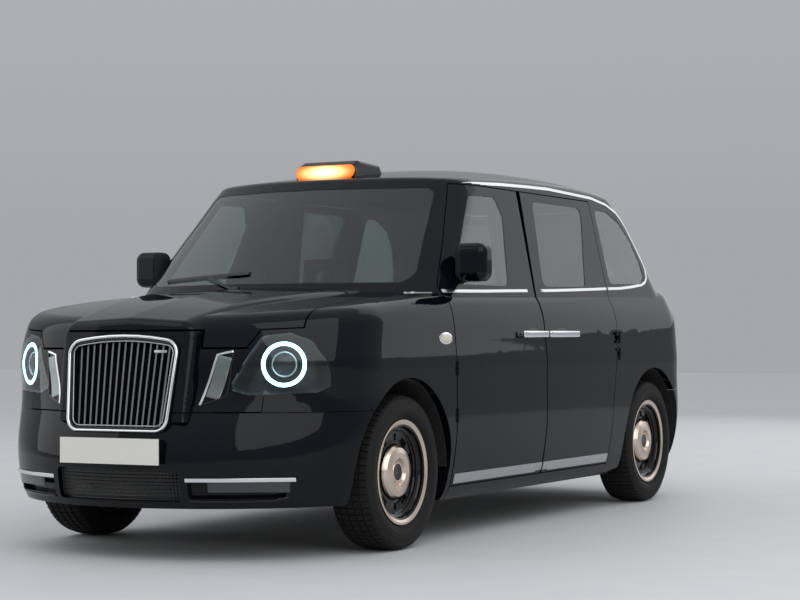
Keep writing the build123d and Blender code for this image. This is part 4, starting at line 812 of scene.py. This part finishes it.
# Door furniture: cast zinc pull handles, chromed, meeting at the middle shut line, and
# convex mirror glass in the housings. Side lamps sit on the wings in chromed bezels.
HANDLE_X, HANDLE_Z = 0.951, 0.970
for door, y0, y1 in (("front_door", -0.262, 0.034), ("rear_door", 0.056, 0.430)):
    middle, length = (y0 + y1) / 2, y1 - y0
    pull = rounded_block((HANDLE_X, middle, HANDLE_Z), (0.015, length, 0.034), 0.0068, 4)
    feet = [rounded_block((HANDLE_X - 0.015, y, HANDLE_Z), (0.028, 0.030, 0.024), 0.005, 2)
            for y in (y0 + 0.022, y1 - 0.022)]
    join_to(pull, *feet)
    settle_pair(pull, "handle_" + door, chrome, door, "trim_plastic")
    clear_selection()
    bpy.ops.mesh.primitive_uv_sphere_add(segments=48, ring_count=16, radius=0.5,
                                         location=(0.9275, middle, HANDLE_Z - 0.004),
                                         scale=(0.004, length * 0.62, 0.066))
    bpy.ops.object.shade_smooth()
    settle_pair(bpy.context.object, "handle_cup_" + door, gloss_trim, door, "trim_plastic")

silvered = bright_metal("silvered_mirror_glass", "#c9d3d8", 0.01, 6.0)
glass_plate = rounded_plate((0.934, -0.7345, 1.314), (0.132, 0.003, 0.148), 0.026, 0.0008)
settle_pair(glass_plate, "mirror_glass", silvered, "front_door", "glass")

side_lens = glow("side_lamp_lens", "#e8dccb", 0.08, "#c9c0b2")
SIDE_LAMP = (("side_lamp_bezel", (0.006, 0.066, 0.030), 0.0, chrome, "trim_plastic"),
             ("side_lamp_lens", (0.008, 0.054, 0.021), 0.0025, side_lens, "clear_lens"))
for name, scale, proud, finish, slot_name in SIDE_LAMP:
    clear_selection()
    bpy.ops.mesh.primitive_uv_sphere_add(segments=48, ring_count=24, radius=1.0,
                                         location=(0.9285 + proud, -1.072, 0.950), scale=scale)
    bpy.ops.object.shade_smooth()
    settle_pair(bpy.context.object, name, finish, "body", slot_name)


# Rear lamps: red acrylic with moulded prisms and a clear band across the middle, and the
# tailgate's bright grip.
CLEAR_BAND_Z, CLEAR_BAND_HALF = 0.925, 0.035
red_acrylic = new_material("prismatic_red_acrylic")
red_place = add(red_acrylic, "TexCoord")
red_rows = add(red_acrylic, "TexWave", {
    "Vector": (red_place, "Object"), "Scale": 26.0}, bands_direction="Z")
red_columns = add(red_acrylic, "TexWave", {
    "Vector": (red_place, "Object"), "Scale": 26.0}, bands_direction="X")
red_prisms = add(red_acrylic, "Math", {0: (red_rows, "Fac"), 1: (red_columns, "Fac")}, operation="MULTIPLY")
red_parts = add(red_acrylic, "SeparateXYZ", {"Vector": (red_place, "Object")})
red_band = add(red_acrylic, "Math", {
    0: (red_parts, "Z"), 1: CLEAR_BAND_Z, 2: CLEAR_BAND_HALF}, operation="COMPARE")
red_tone = blend(red_acrylic, (red_band, "Value"), "#5c0407", "#a09c98")
red_relief = add(red_acrylic, "Bump", {"Height": (red_prisms, "Value"), "Strength": 0.5, "Distance": 0.002})
surface(red_acrylic, {
    "Base Color": (red_tone, "Result"), "Roughness": 0.2, "Specular IOR Level": 0.2, "Coat Weight": 0.35,
    "Coat Roughness": 0.05, "Normal": (red_relief, "Normal")})
dress(red_acrylic, "tail_lamps")
grip = rounded_block((0, 2.388, 0.905), (0.600, 0.030, 0.030), 0.010, 4)
settle(grip, "tailgate_grip", chrome, "tailgate", "trim_plastic")


# Grab rails: high-visibility yellow plastic-coated tube on the partition's posts.
grab_yellow = moulded_plastic("dipped_yellow_coating", "#d8a30c", "#e3b01e", 0.42, 3.0)
clear_selection()
bpy.ops.curve.primitive_nurbs_path_add()
rail = bpy.context.object
rail_points = [(0.668, 0.124, 1.090), (0.668, 0.165, 1.095), (0.668, 0.188, 1.150), (0.655, 0.192, 1.320),
               (0.640, 0.186, 1.500), (0.640, 0.160, 1.556), (0.640, 0.124, 1.560)]
spline = rail.data.splines[0]
spline.points.add(len(rail_points) - len(spline.points))
for point, (x, y, z) in zip(spline.points, rail_points):
    point.co = (x, y, z, 1.0)
spline.order_u = 3
spline.use_endpoint_u = True
rail.data.bevel_depth = 0.0155
rail.data.bevel_resolution = 4
rail.data.use_fill_caps = True
bpy.ops.object.convert(target="MESH")
bpy.ops.object.shade_smooth()
settle_pair(bpy.context.object, "grab_rail", grab_yellow, "body", "trim_plastic")


# Seats: moulded polyurethane foam under a wipe-clean vinyl cover, sewn in channels. Each
# pad is remeshed, inflated a little as cloth, and its channels are then drawn in.
vinyl = new_material("stitched_vinyl_cover")
vinyl_place = add(vinyl, "TexCoord")
vinyl_grain = add(vinyl, "TexVoronoi", {
    "Vector": (vinyl_place, "Object"), "Scale": 330.0}, feature="DISTANCE_TO_EDGE")
vinyl_wear = add(vinyl, "TexNoise", {"Vector": (vinyl_place, "Object"), "Scale": 7.0, "Detail": 5.0})
vinyl_tone = blend(vinyl, (vinyl_wear, "Fac"), "#232428", "#34363b")
vinyl_shine = add(vinyl, "MapRange", {"Value": (vinyl_wear, "Fac"), "To Min": 0.42, "To Max": 0.62})
vinyl_relief = add(vinyl, "Bump", {
    "Height": (vinyl_grain, "Distance"), "Strength": 0.3, "Distance": 0.0006})
surface(vinyl, {
    "Base Color": (vinyl_tone, "Result"), "Roughness": (vinyl_shine, "Result"), "Sheen Weight": 0.15,
    "Normal": (vinyl_relief, "Normal")})
CHANNEL_PITCH, CHANNEL_DEPTH, CHANNEL_WIDTH, CHANNEL_REACH = 0.082, 0.006, 0.007, 0.03
FOAM_STEPS = 20


def plump(pad, voxel, swell, channel_face=None):
    """Remeshes a pad, inflates it as cloth by at most swell, and sews channels into one face."""
    shape_by(pad, "REMESH", mode="VOXEL", voxel_size=voxel)
    rest = [v.co.copy() for v in pad.data.vertices]
    cloth = pad.modifiers.new("foam", "CLOTH")
    cloth.settings.use_pressure = True
    cloth.settings.uniform_pressure_force = 4
    cloth.settings.effector_weights.gravity = 0
    cloth.settings.quality = 4
    for step in range(1, FOAM_STEPS + 1):
        bpy.context.scene.frame_set(step)
    state = pad.evaluated_get(bpy.context.evaluated_depsgraph_get())
    swollen = [v.co.copy() for v in state.data.vertices]
    pad.modifiers.remove(cloth)
    bpy.context.scene.frame_set(1)
    for v, start, end in zip(pad.data.vertices, rest, swollen):
        move = end - start
        v.co = start + move * min(1.0, swell / max(move.length, 1e-9))
    shape_by(pad, "SUBSURF", levels=1, render_levels=1)
    if channel_face:
        face = Vector(channel_face)
        reach = max(v.co.dot(face) for v in pad.data.vertices)
        for v in pad.data.vertices:
            on_face = max(0.0, 1 - (reach - v.co.dot(face)) / CHANNEL_REACH)
            off = (v.co.x / CHANNEL_PITCH + 0.5) % 1.0 - 0.5
            seam = exp(-(off * CHANNEL_PITCH / CHANNEL_WIDTH) ** 2)
            v.co -= face * CHANNEL_DEPTH * min(1.0, on_face * 2) * seam
    bpy.ops.object.shade_smooth()


def pad_at(name, place, size, rounding, voxel, swell, lean, body, node, face):
    """One upholstered pad: a rounded block, plumped, leant back and hung on its body."""
    pad = rounded_block((0, 0, 0), size, rounding, 4)
    plump(pad, voxel, swell, face)
    pad.rotation_euler = (radians(lean), 0, 0)
    pad.location = place
    settle(pad, name, vinyl, body, "seat_cover")
    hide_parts(node)


UP, REARWARD, FORWARD = (0, 0, 1), (0, 1, 0), (0, -1, 0)
DRIVER_X, DRIVER_LEAN, BENCH_LEAN = -0.380, -7.4, -8.6
SEAT_SPACING, TIP_SEAT_Y = 0.400, 0.175
pad_at("driver_cushion", (DRIVER_X, -0.240, 0.628), (0.476, 0.420, 0.110), 0.036, 0.012, 0.014, 0, "body",
       "driver_seat", UP)
pad_at("driver_backrest", (DRIVER_X, -0.020, 0.912), (0.456, 0.082, 0.520), 0.034, 0.012, 0.014,
       DRIVER_LEAN, "body", "driver_seat", FORWARD)
headrest = rounded_block((0, 0, 0), (0.262, 0.058, 0.200), 0.001, 1)
bpy.ops.object.mode_set(mode="EDIT")
bm = bmesh.from_edit_mesh(headrest.data)
for face in bm.faces:
    face.select_set(abs(face.normal.y) > 0.99 and face.calc_area() > 0.02)
bmesh.update_edit_mesh(headrest.data)
bpy.ops.mesh.inset(thickness=0.062)
bpy.ops.mesh.bridge_edge_loops()
bpy.ops.object.mode_set(mode="OBJECT")
plump(headrest, 0.008, 0.008)
headrest.rotation_euler = (radians(DRIVER_LEAN), 0, 0)
headrest.location = (DRIVER_X, 0.035, 1.282)
settle(headrest, "driver_headrest", vinyl, "body", "seat_cover")
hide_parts("driver_seat")
plinth = rounded_block((DRIVER_X, -0.220, 0.450), (0.380, 0.360, 0.236), 0.020, 3)
settle(plinth, "driver_seat_plinth", cabin_plastic, "body", "seat_cover")
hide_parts("driver_seat")

pad_at("bench_cushion", (0, 1.290, 0.708), (1.190, 0.436, 0.108), 0.036, 0.014, 0.014, 0, "body",
       "rear_bench", UP)
pad_at("bench_backrest", (0, 1.592, 0.985), (1.190, 0.082, 0.545), 0.032, 0.014, 0.014, BENCH_LEAN, "body",
       "rear_bench", FORWARD)
for seat, label in ((-1, "right"), (0, "middle"), (1, "left")):
    pad_at(f"bench_headrest_{label}", (seat * SEAT_SPACING, 1.652, 1.325), (0.220, 0.062, 0.138), 0.028,
           0.010, 0.010, -10, "body", "rear_bench", None)
plinth = rounded_block((0, 1.300, 0.604), (1.190, 0.396, 0.112), 0.012, 3)
settle(plinth, "bench_plinth", cabin_plastic, "body", "seat_cover")
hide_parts("rear_bench")

for seat, label in ((-1, "right"), (0, "middle"), (1, "left")):
    body = "tip_seat_" + label
    seat_x = seat * SEAT_SPACING
    pad_at(f"tip_seat_pad_{label}", (seat_x, TIP_SEAT_Y, 0.824), (0.350, 0.056, 0.334), 0.024, 0.010, 0.010,
           0, body, body, REARWARD)
    clear_selection()
    bpy.ops.mesh.primitive_cylinder_add(vertices=32, radius=0.0089, depth=0.357,
                                        location=(seat_x, TIP_SEAT_Y, 0.600), rotation=(0, radians(90), 0))
    bpy.ops.object.mode_set(mode="EDIT")
    bpy.ops.mesh.select_all(action="SELECT")
    bpy.ops.mesh.bevel(offset=0.001, segments=2)
    bpy.ops.object.mode_set(mode="OBJECT")
    axle = bpy.context.object
    frame_plate = rounded_block((seat_x, TIP_SEAT_Y, 0.645), (0.300, 0.028, 0.090), 0.006, 2)
    join_to(axle, frame_plate)
    bpy.ops.object.shade_smooth_by_angle(angle=radians(40))
    settle(axle, f"tip_seat_frame_{label}", chassis_steel, body, "seat_cover")
    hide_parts(body)


size = {"cad": [list(cad_low), list(cad_high)], "visual": [list(v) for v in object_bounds()]}
